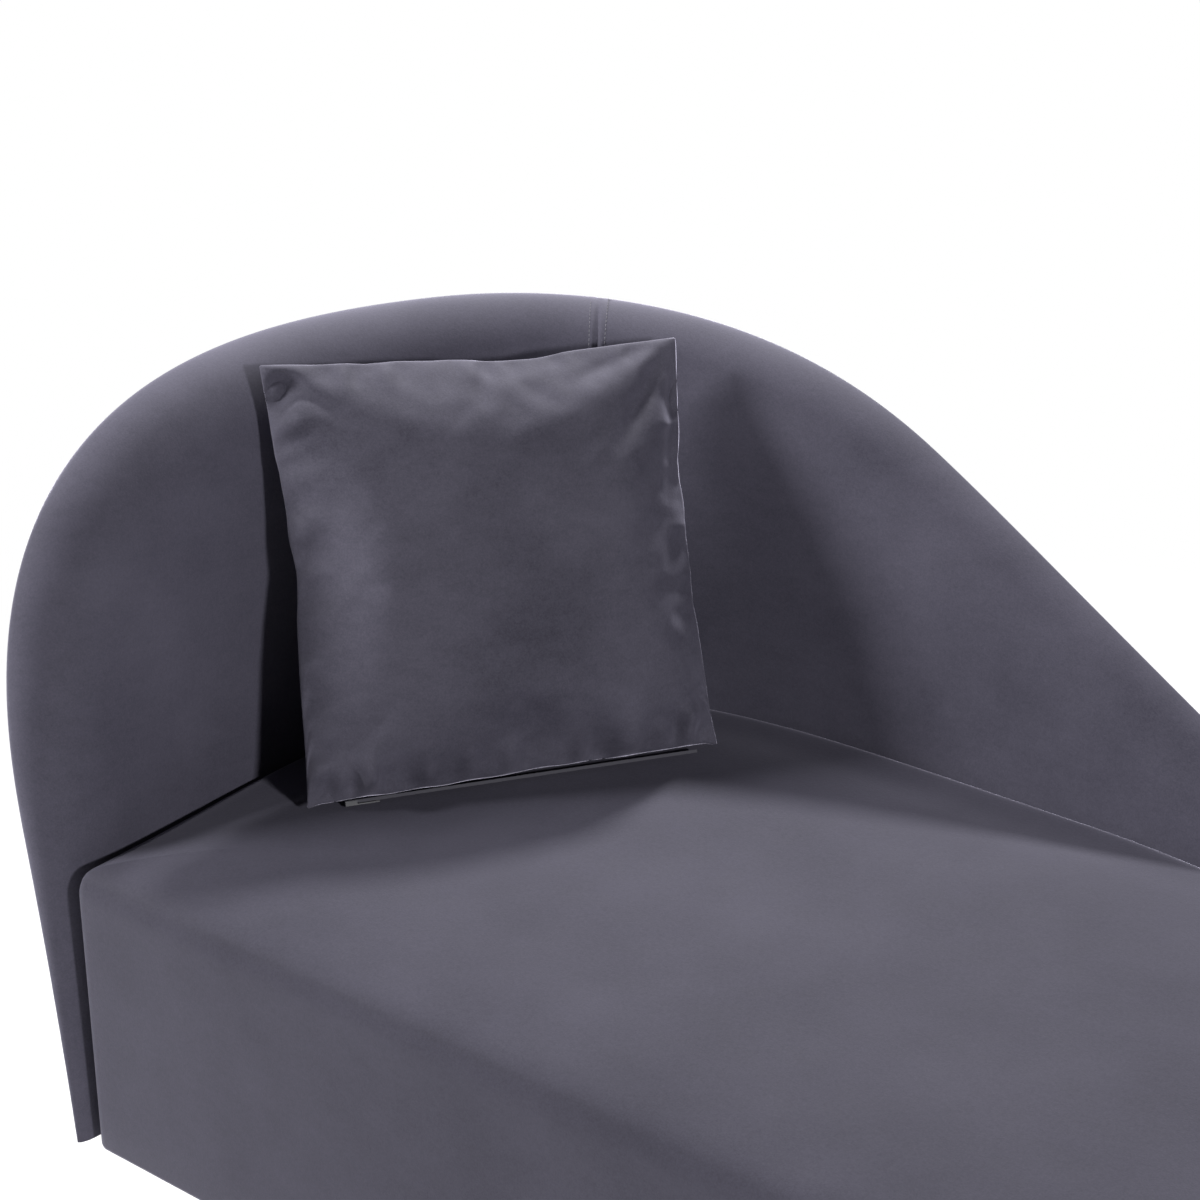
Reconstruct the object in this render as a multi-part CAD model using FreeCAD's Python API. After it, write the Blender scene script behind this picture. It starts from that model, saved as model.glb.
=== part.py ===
import FreeCAD, Part
import math
import os

# Chaise longue with a wrap-round padded back, built in millimetres, Z up, floor at z = 0.
# While drawing, x = 0 is the head wall's inner face, y = 0 the back wall's inner face and
# the front of the seat faces -y. Every piece is moved to the common origin on export.

Vec = FreeCAD.Vector

# heights
glideHeight = 6.0
baseBottom = 136.0
railBottom = 139.0
railHeight = 120.0
railTop = railBottom + railHeight
seatLevel = 430.0
seatCrown = 12.5

# seat and wall plan
cornerLength = 577.6
cornerWidth = 643.4
cornerPower = 3.58
frontSetback = 8.2
wallTailX = 960.0
seatFront = -628.0
seatFoot = 1590.0
footCornerRadius = 160.0
headCornerRadius = 18.0
seatToWall = 2.0

# wall's rim, drawn as a curve over the unrolled wall
rimPeak = 816.0
frontRimStart = 405.7
archRun = 469.5
archPower = 2.815
flatRun = 25.3
shoulderRadius = 839.3
slopeAngle = math.radians(29.2)
tailNoseRadius = 60.0

# wall's thickness and rolls
wallFootThickness = 18.0
outerLean = 66.0
outerFlare = 48.3
flareHeight = 645.0
innerLean = math.radians(8.0)
crestShare = 0.74
innerRoll = 85.0
outerRoll = 50.7
seamStation = 608.0
seamPitch = 14.0
stitchOffset = 6.2
stationPitch = 64.0
chordSag = 0.9

# layers, measured inward from the skin
coverThickness = 2.0
foamDepth = 2.9
panelDepth = 3.2
panelThickness = 9.0
panelRimGap = 40.0
panelEndGap = 40.0
foamToPanel = 1.0
pieceGap = 0.3

# base frame
railInset = 4.7
railThickness = 25.0
blockHeight = 42.0
crossRailWidth = 22.0
crossRailHeight = 80.0
plateThickness = 3.0
plateSide = 70.0
studRadius = 4.0
studLength = 52.0
legTopRadius = 19.0
legFootRadius = 11.0
legSides = 14
glideInset = 1.0
dustThickness = 1.2

frontLegInset = 83.0
footLegInset = 130.0
legSpots = [
    ("head_front", 130.0, seatFront + frontLegInset),
    ("head_rear", 150.0, -196.0),
    ("mid_front", 800.0, seatFront + frontLegInset),
    ("mid_rear", 800.0, -83.0),
    ("foot_front", seatFoot - footLegInset, seatFront + frontLegInset),
    ("foot_rear", seatFoot - footLegInset, -83.0),
]
crossRailSpots = [185.0, 855.0, seatFoot - 207.0]
blockSide = 110.0
overcut = 400.0

# seat suspension
wireRadius = 1.9
springRows = 7
springHalfWidth = 21.0
firstSpring = 250.0
springPitch = 148.0
lastSpringInset = 300.0
springCount = int((seatFoot - lastSpringInset - firstSpring) / springPitch) + 1
clipThickness = 1.6
clipWidth = 26.0
deckThickness = 1.5
topperDepth = 26.0

# wall fixings
battenWidth = 28.0
battenBottom = 152.0
battenTop = 246.0
battenGap = 0.9
boltHeight = 200.0
boltRadius = 3.9
boltHoleRadius = 4.5
boltHeadRadius = 8.0
boltHeadHeight = 4.0
boltSeatGap = 0.5

# throw pillow
pillowWidth = 403.0
pillowHeight = 400.0
pillowBulge = 56.0
pillowSideDraw = 9.0
pillowFootX = 226.0
pillowFootY = -269.6
pillowSeatGap = 0.4
pillowTurn = 56.0
pillowLean = 26.9
zipEndGap = 31.5
zipDepth = 3.0
zipGap = 0.1
sliderDepth = 1.9
sliderHalfThickness = 3.2

parts = {}


# plan line
def buildPlanTable():
    steps = 3000
    table = [(-frontSetback, 0.0, -cornerWidth)]
    station = -frontSetback
    lastX, lastY = 0.0, -cornerWidth
    for i in range(1, steps + 1):
        turn = 0.5 * math.pi * i / steps
        x = cornerLength - cornerLength * abs(math.cos(turn)) ** (2.0 / cornerPower)
        y = -cornerWidth + cornerWidth * math.sin(turn) ** (2.0 / cornerPower)
        station += math.hypot(x - lastX, y - lastY)
        table.append((station, x, y))
        lastX, lastY = x, y
    return table


planTable = buildPlanTable()
straightStart = planTable[-1][0]
wallEnd = straightStart + (wallTailX - cornerLength)
battenStations = [222.0, 335.0, 880.0, 1050.0, wallEnd - 218.0]


def planPoint(station):
    if station >= straightStart:
        return cornerLength + (station - straightStart), 0.0
    low, high = 0, len(planTable) - 1
    while high - low > 1:
        middle = (low + high) // 2
        if planTable[middle][0] <= station:
            low = middle
        else:
            high = middle
    first, second = planTable[low], planTable[high]
    share = (station - first[0]) / (second[0] - first[0])
    x = first[1] + share * (second[1] - first[1])
    y = first[2] + share * (second[2] - first[2])
    return x, y


def planDirection(station):
    reach = 4.0
    if station < 12.0:
        return 0.0, 1.0
    if station > straightStart + reach:
        return 1.0, 0.0
    x0, y0 = planPoint(station - reach)
    x1, y1 = planPoint(station + reach)
    length = math.hypot(x1 - x0, y1 - y0)
    return (x1 - x0) / length, (y1 - y0) / length


def place(station, outward, z):
    # a point at a station along the wall, so far outward from the plan line, at height z
    x, y = planPoint(station)
    tx, ty = planDirection(station)
    return Vec(x - ty * outward, y + tx * outward, z)


# rim of the wall
def buildRim():
    rim = [(0.0, 0.0), (0.0, frontRimStart)]
    for i in range(1, 61):
        turn = 0.5 * math.pi * i / 60.0
        s = archRun * (1.0 - math.cos(turn) ** (2.0 / archPower))
        if i == 60:
            s = archRun
        z = frontRimStart + (rimPeak - frontRimStart) * math.sin(turn) ** (2.0 / archPower)
        rim.append((s, z))
    for i in range(0, 17):
        turn = slopeAngle * i / 16.0
        s = archRun + flatRun + shoulderRadius * math.sin(turn)
        rim.append((s, rimPeak - shoulderRadius * (1.0 - math.cos(turn))))
    startS, startZ = rim[-1]
    noseS = wallEnd - tailNoseRadius
    noseStart = noseS + tailNoseRadius * math.sin(slopeAngle)
    noseStartZ = startZ - (noseStart - startS) * math.tan(slopeAngle)
    noseZ = noseStartZ - tailNoseRadius * math.cos(slopeAngle)
    for i in range(0, 11):
        turn = slopeAngle + (0.5 * math.pi - slopeAngle) * i / 10.0
        rim.append((noseS + tailNoseRadius * math.sin(turn), noseZ + tailNoseRadius * math.cos(turn)))
    rim.append((wallEnd, 0.0))
    return rim


rimCurve = buildRim()


def rimDistance(s, z):
    best = 1.0e9
    for (s0, z0), (s1, z1) in zip(rimCurve[:-1], rimCurve[1:]):
        ds, dz = s1 - s0, z1 - z0
        length = ds * ds + dz * dz
        if length < 1.0e-9:
            continue
        share = ((s - s0) * ds + (z - z0) * dz) / length
        share = min(1.0, max(0.0, share))
        best = min(best, math.hypot(s - s0 - share * ds, z - z0 - share * dz))
    return best


def rimHeight(s):
    for (s0, z0), (s1, z1) in zip(rimCurve[1:-2], rimCurve[2:-1]):
        if s0 <= s <= s1 and s1 > s0:
            return z0 + (z1 - z0) * (s - s0) / (s1 - s0)
    return rimCurve[-2][1]


def heightAtDepth(s, depth):
    # the greatest height at this station that still lies so deep inside the rim
    low, high = 140.0, rimHeight(s)
    for i in range(40):
        middle = 0.5 * (low + high)
        if rimDistance(s, middle) >= depth:
            low = middle
        else:
            high = middle
    return low


# wall surfaces
def innerFace(z):
    rise = z - seatLevel
    return 0.5 * (rise + math.sqrt(rise * rise + 400.0)) * math.tan(innerLean)


def outerFace(z):
    share = (z - baseBottom) / flareHeight
    return wallFootThickness + outerLean * share + outerFlare * share * share


def wallOffset(s, z, depth, side, rimDepth=None):
    inner, outer = innerFace(z), outerFace(z)
    crest = inner + crestShare * (outer - inner)
    inside = rimDistance(s, z) - depth if rimDepth is None else rimDepth
    roll = (innerRoll if side == "inner" else outerRoll) - depth
    share = min(1.0, max(0.0, inside) / roll)
    swell = math.sqrt(max(0.0, 1.0 - (1.0 - share) ** 2))
    if side == "inner":
        return crest - (crest - inner - depth) * swell
    return crest + (outer - crest - depth) * swell


sectionCount = 12
seamCount = 4
innerSteps = [0, 2, 4, 5, 6, 8, 10, 12]
outerSteps = [4, 5, 6, 8, 10, 11, 12]
crestCluster = 3.0


def sidePoints(s, depth, side, bottom, firstStep=0, lastStep=sectionCount, top=None):
    # points from the crest (step 0) down to the bottom (last step), closer together at the crest
    crestZ = heightAtDepth(s, depth) if depth > 0.0 else rimHeight(s)
    points = []
    for i in range(firstStep, lastStep + 1):
        z = crestZ - (crestZ - bottom) * (i / float(sectionCount)) ** crestCluster
        rimDepth = 0.0 if i == 0 else None
        points.append(place(s, wallOffset(s, z, depth, side, rimDepth), z))
    return points


def chordParameters(points):
    values = [0.0]
    for a, b in zip(points[:-1], points[1:]):
        values.append(values[-1] + math.sqrt(max(1.0e-6, a.distanceToPoint(b))) ** 1.4)
    return [v / values[-1] for v in values]


def curveEdge(points, parameters):
    curve = Part.BSplineCurve()
    curve.interpolate(Points=points, Parameters=parameters)
    return curve.toShape()


def curved(points):
    return ("curved", points)


def straight(points):
    return ("straight", points)


def curvedRuns(points, length):
    # a long curve as neighbouring splines through a few points each
    runs = []
    first = 0
    while first < len(points) - 1:
        last = min(first + length, len(points) - 1)
        runs.append(curved(points[first:last + 1]))
        first = last
    return runs


def loftSections(sections):
    # each section is a closed round of curved and straight runs of points
    middle = sections[len(sections) // 2]
    parameters = [chordParameters(points) for kind, points in middle]
    wires = []
    for section in sections:
        edges = []
        for (kind, points), values in zip(section, parameters):
            if kind == "curved":
                edges.append(curveEdge(points, values))
            else:
                edges += [Part.makeLine(a, b) for a, b in zip(points[:-1], points[1:])]
        wires.append(Part.Wire(edges))
    return Part.makeLoft(wires, True, True)


def coverBottom(s):
    # the lining runs to the base at both ends and stops above the fixings between them
    fromEnd = min(s, wallEnd - s)
    share = min(1.0, max(0.0, (fromEnd - 30.0) / 170.0))
    share = share * share * (3.0 - 2.0 * share)
    return baseBottom + 1.0 + share * 150.0


def bend(s):
    # curvature of the plan line
    ax, ay = planDirection(s - 8.0)
    bx, by = planDirection(s + 8.0)
    return abs(ax * by - ay * bx) / 16.0


def spread(first, last):
    # stations between two others, closer together where the plan line bends
    walk = 4.0
    load = [0.0]
    count = int((last - first) / walk)
    walk = (last - first) / count
    for i in range(count):
        step = min(stationPitch, math.sqrt(8.0 * chordSag / max(1.0e-6, bend(first + walk * (i + 0.5)))))
        load.append(load[-1] + walk / step)
    pieces = max(2, int(math.ceil(load[-1])))
    stations = []
    for k in range(1, pieces):
        goal = load[-1] * k / float(pieces)
        i = max(n for n in range(count) if load[n] <= goal)
        stations.append(first + walk * (i + (goal - load[i]) / (load[i + 1] - load[i])))
    return stations


frontStations = [2.3, 5.0, 10.0, 17.5, 27.5, 40.0, 60.0, 90.0, 135.0]
middleStations = spread(frontStations[-1], seamStation - seamPitch) + [seamStation - seamPitch]
tailStations = [wallEnd - s for s in frontStations[::-1]]
backStations = [seamStation + seamPitch] + spread(seamStation + seamPitch, tailStations[0])
headStations = frontStations + middleStations + [seamStation - pieceGap]
footStations = [seamStation + pieceGap] + backStations + tailStations


def wallSkin(s, depth, bottom, lastOuterStep):
    inner = sidePoints(s, depth, "inner", bottom)
    outer = sidePoints(s, depth, "outer", baseBottom + 1.0, 0, lastOuterStep)
    return inner[::-1] + outer[1:]


def insideCoverSection(s):
    bottom = coverBottom(s)
    skin = wallSkin(s, 0.0, bottom, seamCount)
    lining = wallSkin(s, coverThickness, bottom, seamCount)
    kept = [sectionCount - i for i in innerSteps][::-1]
    kept += [sectionCount + i for i in range(1, seamCount + 1)]
    lining = [lining[i] for i in kept][::-1]
    return [straight(skin + lining + [skin[0]])]


def outsideCoverSection(s):
    bottom = baseBottom + 1.0
    skin = [sidePoints(s, 0.0, "outer", bottom)[i] for i in outerSteps]
    skin[0] = skin[0] - Vec(0, 0, 2 * pieceGap)
    lining = [sidePoints(s, coverThickness, "outer", bottom)[i] for i in outerSteps][::-1]
    lining[-1] = lining[-1] - Vec(0, 0, 2 * pieceGap)
    return [straight(skin + lining + [skin[0]])]


def fullSection(s, depth):
    bottom = baseBottom + 1.0
    skin = wallSkin(s, depth, bottom, sectionCount)
    if depth > 0.0:
        kept = [sectionCount - i for i in innerSteps][::-1]
        kept += [sectionCount + i for i in [2] + outerSteps]
        skin = [skin[i] for i in kept]
    return [straight(skin + [skin[0]])]


def insideCoverSolid(stations, noseStations):
    shell = loftSections([insideCoverSection(s) for s in stations])
    nose = loftSections([fullSection(s, 0.0) for s in noseStations])
    return Part.makeCompound([shell, nose])


def outsideCoverSolid():
    stations = frontStations + middleStations + [seamStation] + backStations + tailStations
    return loftSections([outsideCoverSection(s) for s in stations])


# bent panel and padding
def panelTop(s):
    return heightAtDepth(s, panelRimGap)


def panelColumn(s, extra, bottom, top, steps=4):
    points = []
    for i in range(steps + 1):
        z = bottom + (top - bottom) * i / float(steps)
        outward = wallOffset(s, z, panelDepth, "outer") - extra
        points.append(place(s, outward, z))
    return points


def panelSection(s):
    bottom, top = railBottom, panelTop(s)
    outer = panelColumn(s, 0.0, bottom, top)
    inner = panelColumn(s, panelThickness, bottom, top)[::-1]
    return [straight(outer + inner + [outer[0]])]


def panelStations():
    first, last = panelEndGap + 1.0, wallEnd - panelEndGap - 1.0
    between = frontStations + middleStations + [seamStation] + backStations + tailStations
    between = [s for s in between if first + 12.0 < s < last - 12.0]
    return [first, first + 6.0] + between + [last - 6.0, last]


def panelSolid():
    solid = loftSections([panelSection(s) for s in sorted(panelStations())])
    for s in battenStations:
        solid = solid.cut(boltBar(s, boltHoleRadius, -overcut, overcut))
    return solid


def foamSection(s):
    bottom = coverBottom(s) + 2.0
    top = panelTop(s)
    inner = sidePoints(s, foamDepth, "inner", bottom)
    inner = [inner[i] for i in innerSteps][::-1]
    crestZ = heightAtDepth(s, foamDepth)
    stop = top + pieceGap
    outer = []
    for i in range(1, 5):
        z = crestZ - (crestZ - stop) * (i / 4.0) ** 2.0
        outer.append(place(s, wallOffset(s, z, foamDepth, "outer"), z))
    back = panelColumn(s, panelThickness + foamToPanel, bottom, stop)[::-1]
    return [straight(inner + outer + back + [inner[0]])]


def foamSolid(fromStation, toStation):
    inside = [s for s in panelStations() if fromStation + 3.0 < s < toStation - 3.0]
    stations = [fromStation] + sorted(inside) + [toStation]
    return loftSections([foamSection(s) for s in stations])


def edgeRollSolid(atTail):
    spots = [5.0, 10.0, 17.5, 27.5, panelEndGap + 0.5]
    if atTail:
        spots = [wallEnd - s for s in spots][::-1]
    return loftSections([fullSection(s, foamDepth) for s in spots])


def stitchLine(offset):
    # one row of top-stitching beside the seam, lying just proud of the lining's face
    s = seamStation + offset
    width, height, proud = 0.45, 0.6, 0.56
    top = rimHeight(s) - 7.0
    bottom = seatLevel + 8.0
    sections = []
    for i in range(13):
        z = top - (top - bottom) * (i / 12.0) ** 2.2
        corners = []
        for along, out in ((-width, 0.0), (width, 0.0), (width, height), (-width, height)):
            corners.append(place(s + along, wallOffset(s, z, 0.0, "inner") - out - proud, z))
        sections.append(Part.makePolygon(corners + [corners[0]]))
    return Part.makeLoft(sections, True, True)


# seat outlines: stations of the arcs that follow the wall's corner
outlineShares = [0.0, 0.11, 0.21, 0.28, 0.33, 0.37, 0.408, 0.444, 0.482, 0.524, 0.576, 0.646, 0.75, 1.0]
firstOutline = 60.0
lastOutline = straightStart - 28.0


def seatPoints(inset, z):
    # outline of the seat, drawn in by inset, as a closed round of short straight sides
    start = firstOutline + inset
    stations = [start + (lastOutline - start) * share for share in outlineShares]
    points = [place(s, -inset, z) for s in stations]
    small = max(headCornerRadius - inset, 1.5)
    large = max(footCornerRadius - inset, 4.0)
    front, foot = seatFront + inset - seatToWall, seatFoot - inset + seatToWall
    corners = [(foot - large, points[-1].y - large, large, 90.0, 0.0, 10)]
    corners.append((foot - large, front + large, large, 0.0, -90.0, 10))
    corners.append((points[0].x + small, front + small, small, -90.0, -180.0, 4))
    for x, y, radius, first, last, count in corners:
        for i in range(count + 1):
            turn = math.radians(first + (last - first) * i / float(count))
            points.append(Vec(x + radius * math.cos(turn), y + radius * math.sin(turn), z))
    return points + [points[0]]


def seatRing(inset, z):
    return Part.makePolygon(seatPoints(inset, z))


def outlineDepth(station, inset):
    # how far inside the plan line that outline crosses the wall's normal at a station
    tx, ty = planDirection(station)
    origin = place(station, 0.0, 0.0)
    points = seatPoints(inset, 0.0)
    for a, b in zip(points[:-1], points[1:]):
        along = [(p.x - origin.x) * tx + (p.y - origin.y) * ty for p in (a, b)]
        inward = [(p.x - origin.x) * ty - (p.y - origin.y) * tx for p in (a, b)]
        if along[0] <= 0.0 < along[1] and 0.0 < inward[0] < 2.0 * inset + 20.0:
            share = -along[0] / (along[1] - along[0])
            return inward[0] + (inward[1] - inward[0]) * share
    return inset


def seatPrism(inset, bottom, top):
    return Part.Face(seatRing(inset, bottom)).extrude(Vec(0, 0, top - bottom))


# seat's upper edge from the upright side over to the crown: (inset, height)
seatProfile = [
    (seatToWall, seatLevel - 28.0),
    (4.4, seatLevel - 14.5),
    (10.8, seatLevel - 5.0),
    (23.0, seatLevel + 1.2),
    (46.0, seatLevel + 6.0),
    (84.0, seatLevel + 10.6),
    (135.0, seatLevel + seatCrown),
]


def profileAtDepth(depth):
    moved = []
    count = len(seatProfile)
    for i in range(count):
        a = seatProfile[max(0, i - 1)]
        b = seatProfile[min(count - 1, i + 1)]
        di, dz = b[0] - a[0], b[1] - a[1]
        if i == 0:
            di = 0.0
        if i == count - 1:
            dz = 0.0
        length = math.hypot(di, dz)
        inset = seatProfile[i][0] + depth * dz / length
        z = seatProfile[i][1] - depth * di / length
        moved.append((inset, z))
    return moved


def seatBody(depth, bottom, step=1):
    profile = profileAtDepth(depth)[::step]
    side, shoulder = profile[0]
    crown = Part.makeLoft([seatRing(inset, z) for inset, z in profile], True, True)
    return seatPrism(side, bottom, shoulder).fuse(crown)


def wallSideZone(bottom, top):
    # the strip along the wall where the skirt is cut short above the fixings
    stations = [70.0, 330.0, 480.0, 640.0, 800.0, 1000.0, wallEnd - 60.0]
    outer = [place(s, 40.0, bottom) for s in stations]
    inner = [place(s, -10.0, bottom) for s in stations][::-1]
    ring = Part.makePolygon(outer + inner + [outer[0]])
    return Part.Face(ring).extrude(Vec(0, 0, top - bottom))


def box(x0, x1, y0, y1, z0, z1):
    return Part.makeBox(x1 - x0, y1 - y0, z1 - z0, Vec(x0, y0, z0))


# seat pieces
def buildSeat():
    coverBody = seatBody(0.0, baseBottom + 1.0)
    hollow = seatBody(coverThickness, baseBottom - 30.0, 2)
    cover = coverBody.cut(hollow)
    cover = cover.cut(wallSideZone(baseBottom - 10.0, railTop + 16.0))
    parts["seat_cover"] = cover
    clipTop = railTop + 2 * clipThickness + 2 * wireRadius + 0.5
    deckBottom = clipTop + 0.1
    foamBottom = deckBottom + deckThickness
    deck = seatPrism(railInset + 1.0, deckBottom, foamBottom)
    parts["deck_cloth"] = deck
    topperBottom = seatLevel - topperDepth
    soft = coverThickness + 0.8
    side = profileAtDepth(soft)[0][0]
    parts["seat_foam"] = seatPrism(side, foamBottom, topperBottom)
    topper = seatBody(soft, foamBottom, 2)
    below = box(-overcut, seatFoot + overcut, seatFront - overcut, overcut, 0.0, topperBottom)
    parts["seat_topper"] = topper.cut(below)


def railRing():
    inner = railInset + railThickness
    outside = seatPrism(railInset, railBottom, railTop)
    return outside.cut(seatPrism(inner, railBottom - 5.0, railTop + 5.0))


def buildFrame():
    ring = railRing()
    z0, z1 = railBottom - 1.0, railTop + 1.0
    frontInner = seatFront - seatToWall + railInset + railThickness
    footStart = seatFoot - footCornerRadius
    headEnd = 540.0
    low, high, far = seatFront - overcut, overcut, seatFoot + overcut
    front = ring.common(box(-overcut, footStart, low, frontInner, z0, z1))
    head = ring.common(box(-overcut, headEnd, frontInner, high, z0, z1))
    rear = ring.common(box(headEnd, footStart, -100.0, high, z0, z1))
    footLow = seatFront + footCornerRadius
    footHigh = -footCornerRadius
    foot = ring.common(box(footStart, far, footLow, footHigh, z0, z1))
    bendFront = ring.common(box(footStart, far, low, footLow, z0, z1))
    bendRear = ring.common(box(footStart, far, footHigh, high, z0, z1))
    for s in battenStations:
        hole = boltBar(s, boltHoleRadius, -60.0, 40.0)
        if planPoint(s)[0] < headEnd:
            head = head.cut(hole)
        else:
            rear = rear.cut(hole)
    parts["front_rail"] = front
    parts["head_bent_rail"] = head
    parts["rear_rail"] = rear
    parts["foot_rail"] = foot
    parts["foot_corner_bends"] = Part.makeCompound([bendFront, bendRear])
    inside = seatPrism(railInset + railThickness, railBottom, railTop)
    rails = []
    for x in crossRailSpots:
        bar = box(x, x + crossRailWidth, low, high, railBottom, railBottom + crossRailHeight)
        rails.append(bar.common(inside))
    parts["cross_rails"] = Part.makeCompound(rails)
    blocks = []
    for (name, x, y), rail in zip(legSpots, [r for r in crossRailSpots for i in (0, 1)]):
        if name.startswith("foot"):
            x0, x1 = rail + crossRailWidth, rail + crossRailWidth + blockSide
        else:
            x0, x1 = rail - blockSide, rail
        if name.endswith("front"):
            y0, y1 = low, frontInner + blockSide
        else:
            y0 = y - 0.5 * blockSide
            y1 = high
        block = box(x0, x1, y0, y1, railBottom, railBottom + blockHeight).common(inside)
        block = block.cut(octagonBar(x, y, studRadius + 0.4, railBottom - 1.0, railBottom + 24.0))
        blocks.append(block)
    parts["leg_blocks"] = Part.makeCompound(blocks)


def regularRing(start, direction, radius, sides):
    # a closed ring with straight sides; the radius is measured to its corners
    flat = direction.cross(Vec(0, 0, 1))
    if flat.Length < 0.5:
        flat = Vec(1, 0, 0)
    other = direction.cross(flat)
    ring = []
    for i in range(sides):
        turn = 2.0 * math.pi * (i + 0.5) / sides
        ring.append(start + flat * (radius * math.cos(turn)) + other * (radius * math.sin(turn)))
    return Part.makePolygon(ring + [ring[0]])


def regularBar(start, direction, radius, length, sides):
    return Part.Face(regularRing(start, direction, radius, sides)).extrude(direction * length)


def octagonBar(x, y, radius, z0, z1):
    return regularBar(Vec(x, y, z0), Vec(0, 0, 1), radius, z1 - z0, 8)


def buildLegs():
    plateBottom = railBottom - plateThickness
    plates, legs, studs, glides = [], [], [], []
    half = 0.5 * plateSide
    for name, x, y in legSpots:
        plate = box(x - half, x + half, y - half, y + half, plateBottom, railBottom)
        plate = plate.cut(octagonBar(x, y, studRadius + 0.3, plateBottom - 1.0, railBottom + 1.0))
        plates.append(plate)
        studs.append(octagonBar(x, y, studRadius, plateBottom - studLength + 22.0, railBottom + 20.0))
        foot = regularRing(Vec(x, y, glideHeight), Vec(0, 0, 1), legFootRadius, legSides)
        head = regularRing(Vec(x, y, plateBottom), Vec(0, 0, 1), legTopRadius, legSides)
        leg = Part.makeLoft([foot, head], True, True)
        leg = leg.cut(octagonBar(x, y, studRadius + 0.3, plateBottom - studLength + 20.0, plateBottom + 5.0))
        legs.append(leg)
        glides.append(regularBar(Vec(x, y, 0.0), Vec(0, 0, 1), legFootRadius - glideInset, glideHeight, 12))
    parts["leg_plates"] = Part.makeCompound(plates)
    parts["tapered_legs"] = Part.makeCompound(legs)
    parts["leg_studs"] = Part.makeCompound(studs)
    parts["floor_glides"] = Part.makeCompound(glides)
    cloth = seatPrism(railInset + 2.0, railBottom - dustThickness, railBottom)
    for name, x, y in legSpots:
        reach = half + 1.0
        cloth = cloth.cut(box(x - reach, x + reach, y - reach, y + reach, railBottom - 5.0, railBottom + 5.0))
    parts["dust_cover"] = cloth


# springs
def railMiddleY(x):
    low, high = 200.0, straightStart
    for i in range(40):
        middle = 0.5 * (low + high)
        if place(middle, -(railInset + 0.5 * railThickness), 0.0).x < x:
            low = middle
        else:
            high = middle
    return place(low, -(railInset + 0.5 * railThickness), 0.0).y


def springSolid(x, y0, y1):
    z = railTop + clipThickness + wireRadius
    pitch = (y1 - y0) / springRows
    path = [Vec(x, y0, z)]
    side = 1.0
    for i in range(springRows):
        y = y0 + pitch * (i + 0.5)
        path.append(Vec(x + side * springHalfWidth, y - 0.28 * pitch, z))
        path.append(Vec(x + side * springHalfWidth, y + 0.28 * pitch, z))
        side = -side
    path.append(Vec(x, y1, z))
    spine = Part.makePolygon(path)
    run = path[1] - path[0]
    run.normalize()
    across = run.cross(Vec(0, 0, 1))
    ring = []
    for i in range(4):
        turn = 0.5 * math.pi * i
        ring.append(path[0] + across * (wireRadius * math.cos(turn)) + Vec(0, 0, wireRadius * math.sin(turn)))
    profile = Part.makePolygon(ring + [ring[0]])
    return spine.makePipeShell([profile], True, False, 1)


def clipSolid(x, y, openSide):
    # a folded plate whose lip turns up and over the wire's end
    t = clipThickness
    z = railTop
    reach = 11.5
    tall = t + 2 * wireRadius + 0.5
    d = openSide
    outline = [
        (y - d * reach, z), (y + d * reach, z), (y + d * reach, z + tall + t), (y - d * 6.0, z + tall + t),
        (y - d * 6.0, z + tall), (y + d * (reach - t), z + tall), (y + d * (reach - t), z + t),
        (y - d * reach, z + t),
    ]
    points = [Vec(x - 0.5 * clipWidth, a, b) for a, b in outline]
    face = Part.Face(Part.makePolygon(points + [points[0]]))
    return face.extrude(Vec(clipWidth, 0, 0))


def buildSprings():
    springs, clips = [], []
    y0 = seatFront - seatToWall + railInset + 0.5 * railThickness
    for i in range(springCount):
        x = firstSpring + springPitch * i
        y1 = railMiddleY(x)
        springs.append(springSolid(x, y0 - 2.0, y1 + 2.0))
        clips.append(clipSolid(x, y0, -1.0))
        clips.append(clipSolid(x, y1, 1.0))
    parts["seat_springs"] = Part.makeCompound(springs)
    parts["spring_clips"] = Part.makeCompound(clips)


# wall fixings
def boltBar(s, radius, inward, outward, sides=8):
    tx, ty = planDirection(s)
    return regularBar(place(s, inward, boltHeight), Vec(-ty, tx, 0), radius, outward - inward, sides)


def battenSolid(s):
    tx, ty = planDirection(s)
    centre = place(s, 0.0, 0.0)
    inside = pieceGap - railInset
    top = wallOffset(s, battenTop, panelDepth, "outer") - panelThickness - battenGap
    bottom = wallOffset(s, battenBottom, panelDepth, "outer") - panelThickness - battenGap
    outline = [(inside, battenBottom), (bottom, battenBottom), (top, battenTop), (inside, battenTop)]
    points = []
    for out, z in outline:
        corner = Vec(centre.x - ty * out, centre.y + tx * out, z)
        points.append(corner - Vec(tx, ty, 0) * (0.5 * battenWidth))
    solid = Part.Face(Part.makePolygon(points + [points[0]])).extrude(Vec(tx, ty, 0) * battenWidth)
    return solid.cut(boltBar(s, boltHoleRadius, -60.0, 60.0))


def boltSolid(s):
    seat = -(outlineDepth(s, railInset + railThickness) + boltSeatGap)
    tip = wallOffset(s, boltHeight, panelDepth, "outer") - 1.5
    shank = boltBar(s, boltRadius, seat, tip)
    head = boltBar(s, boltHeadRadius, seat - boltHeadHeight, seat, 6)
    return shank.fuse(head)


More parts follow.
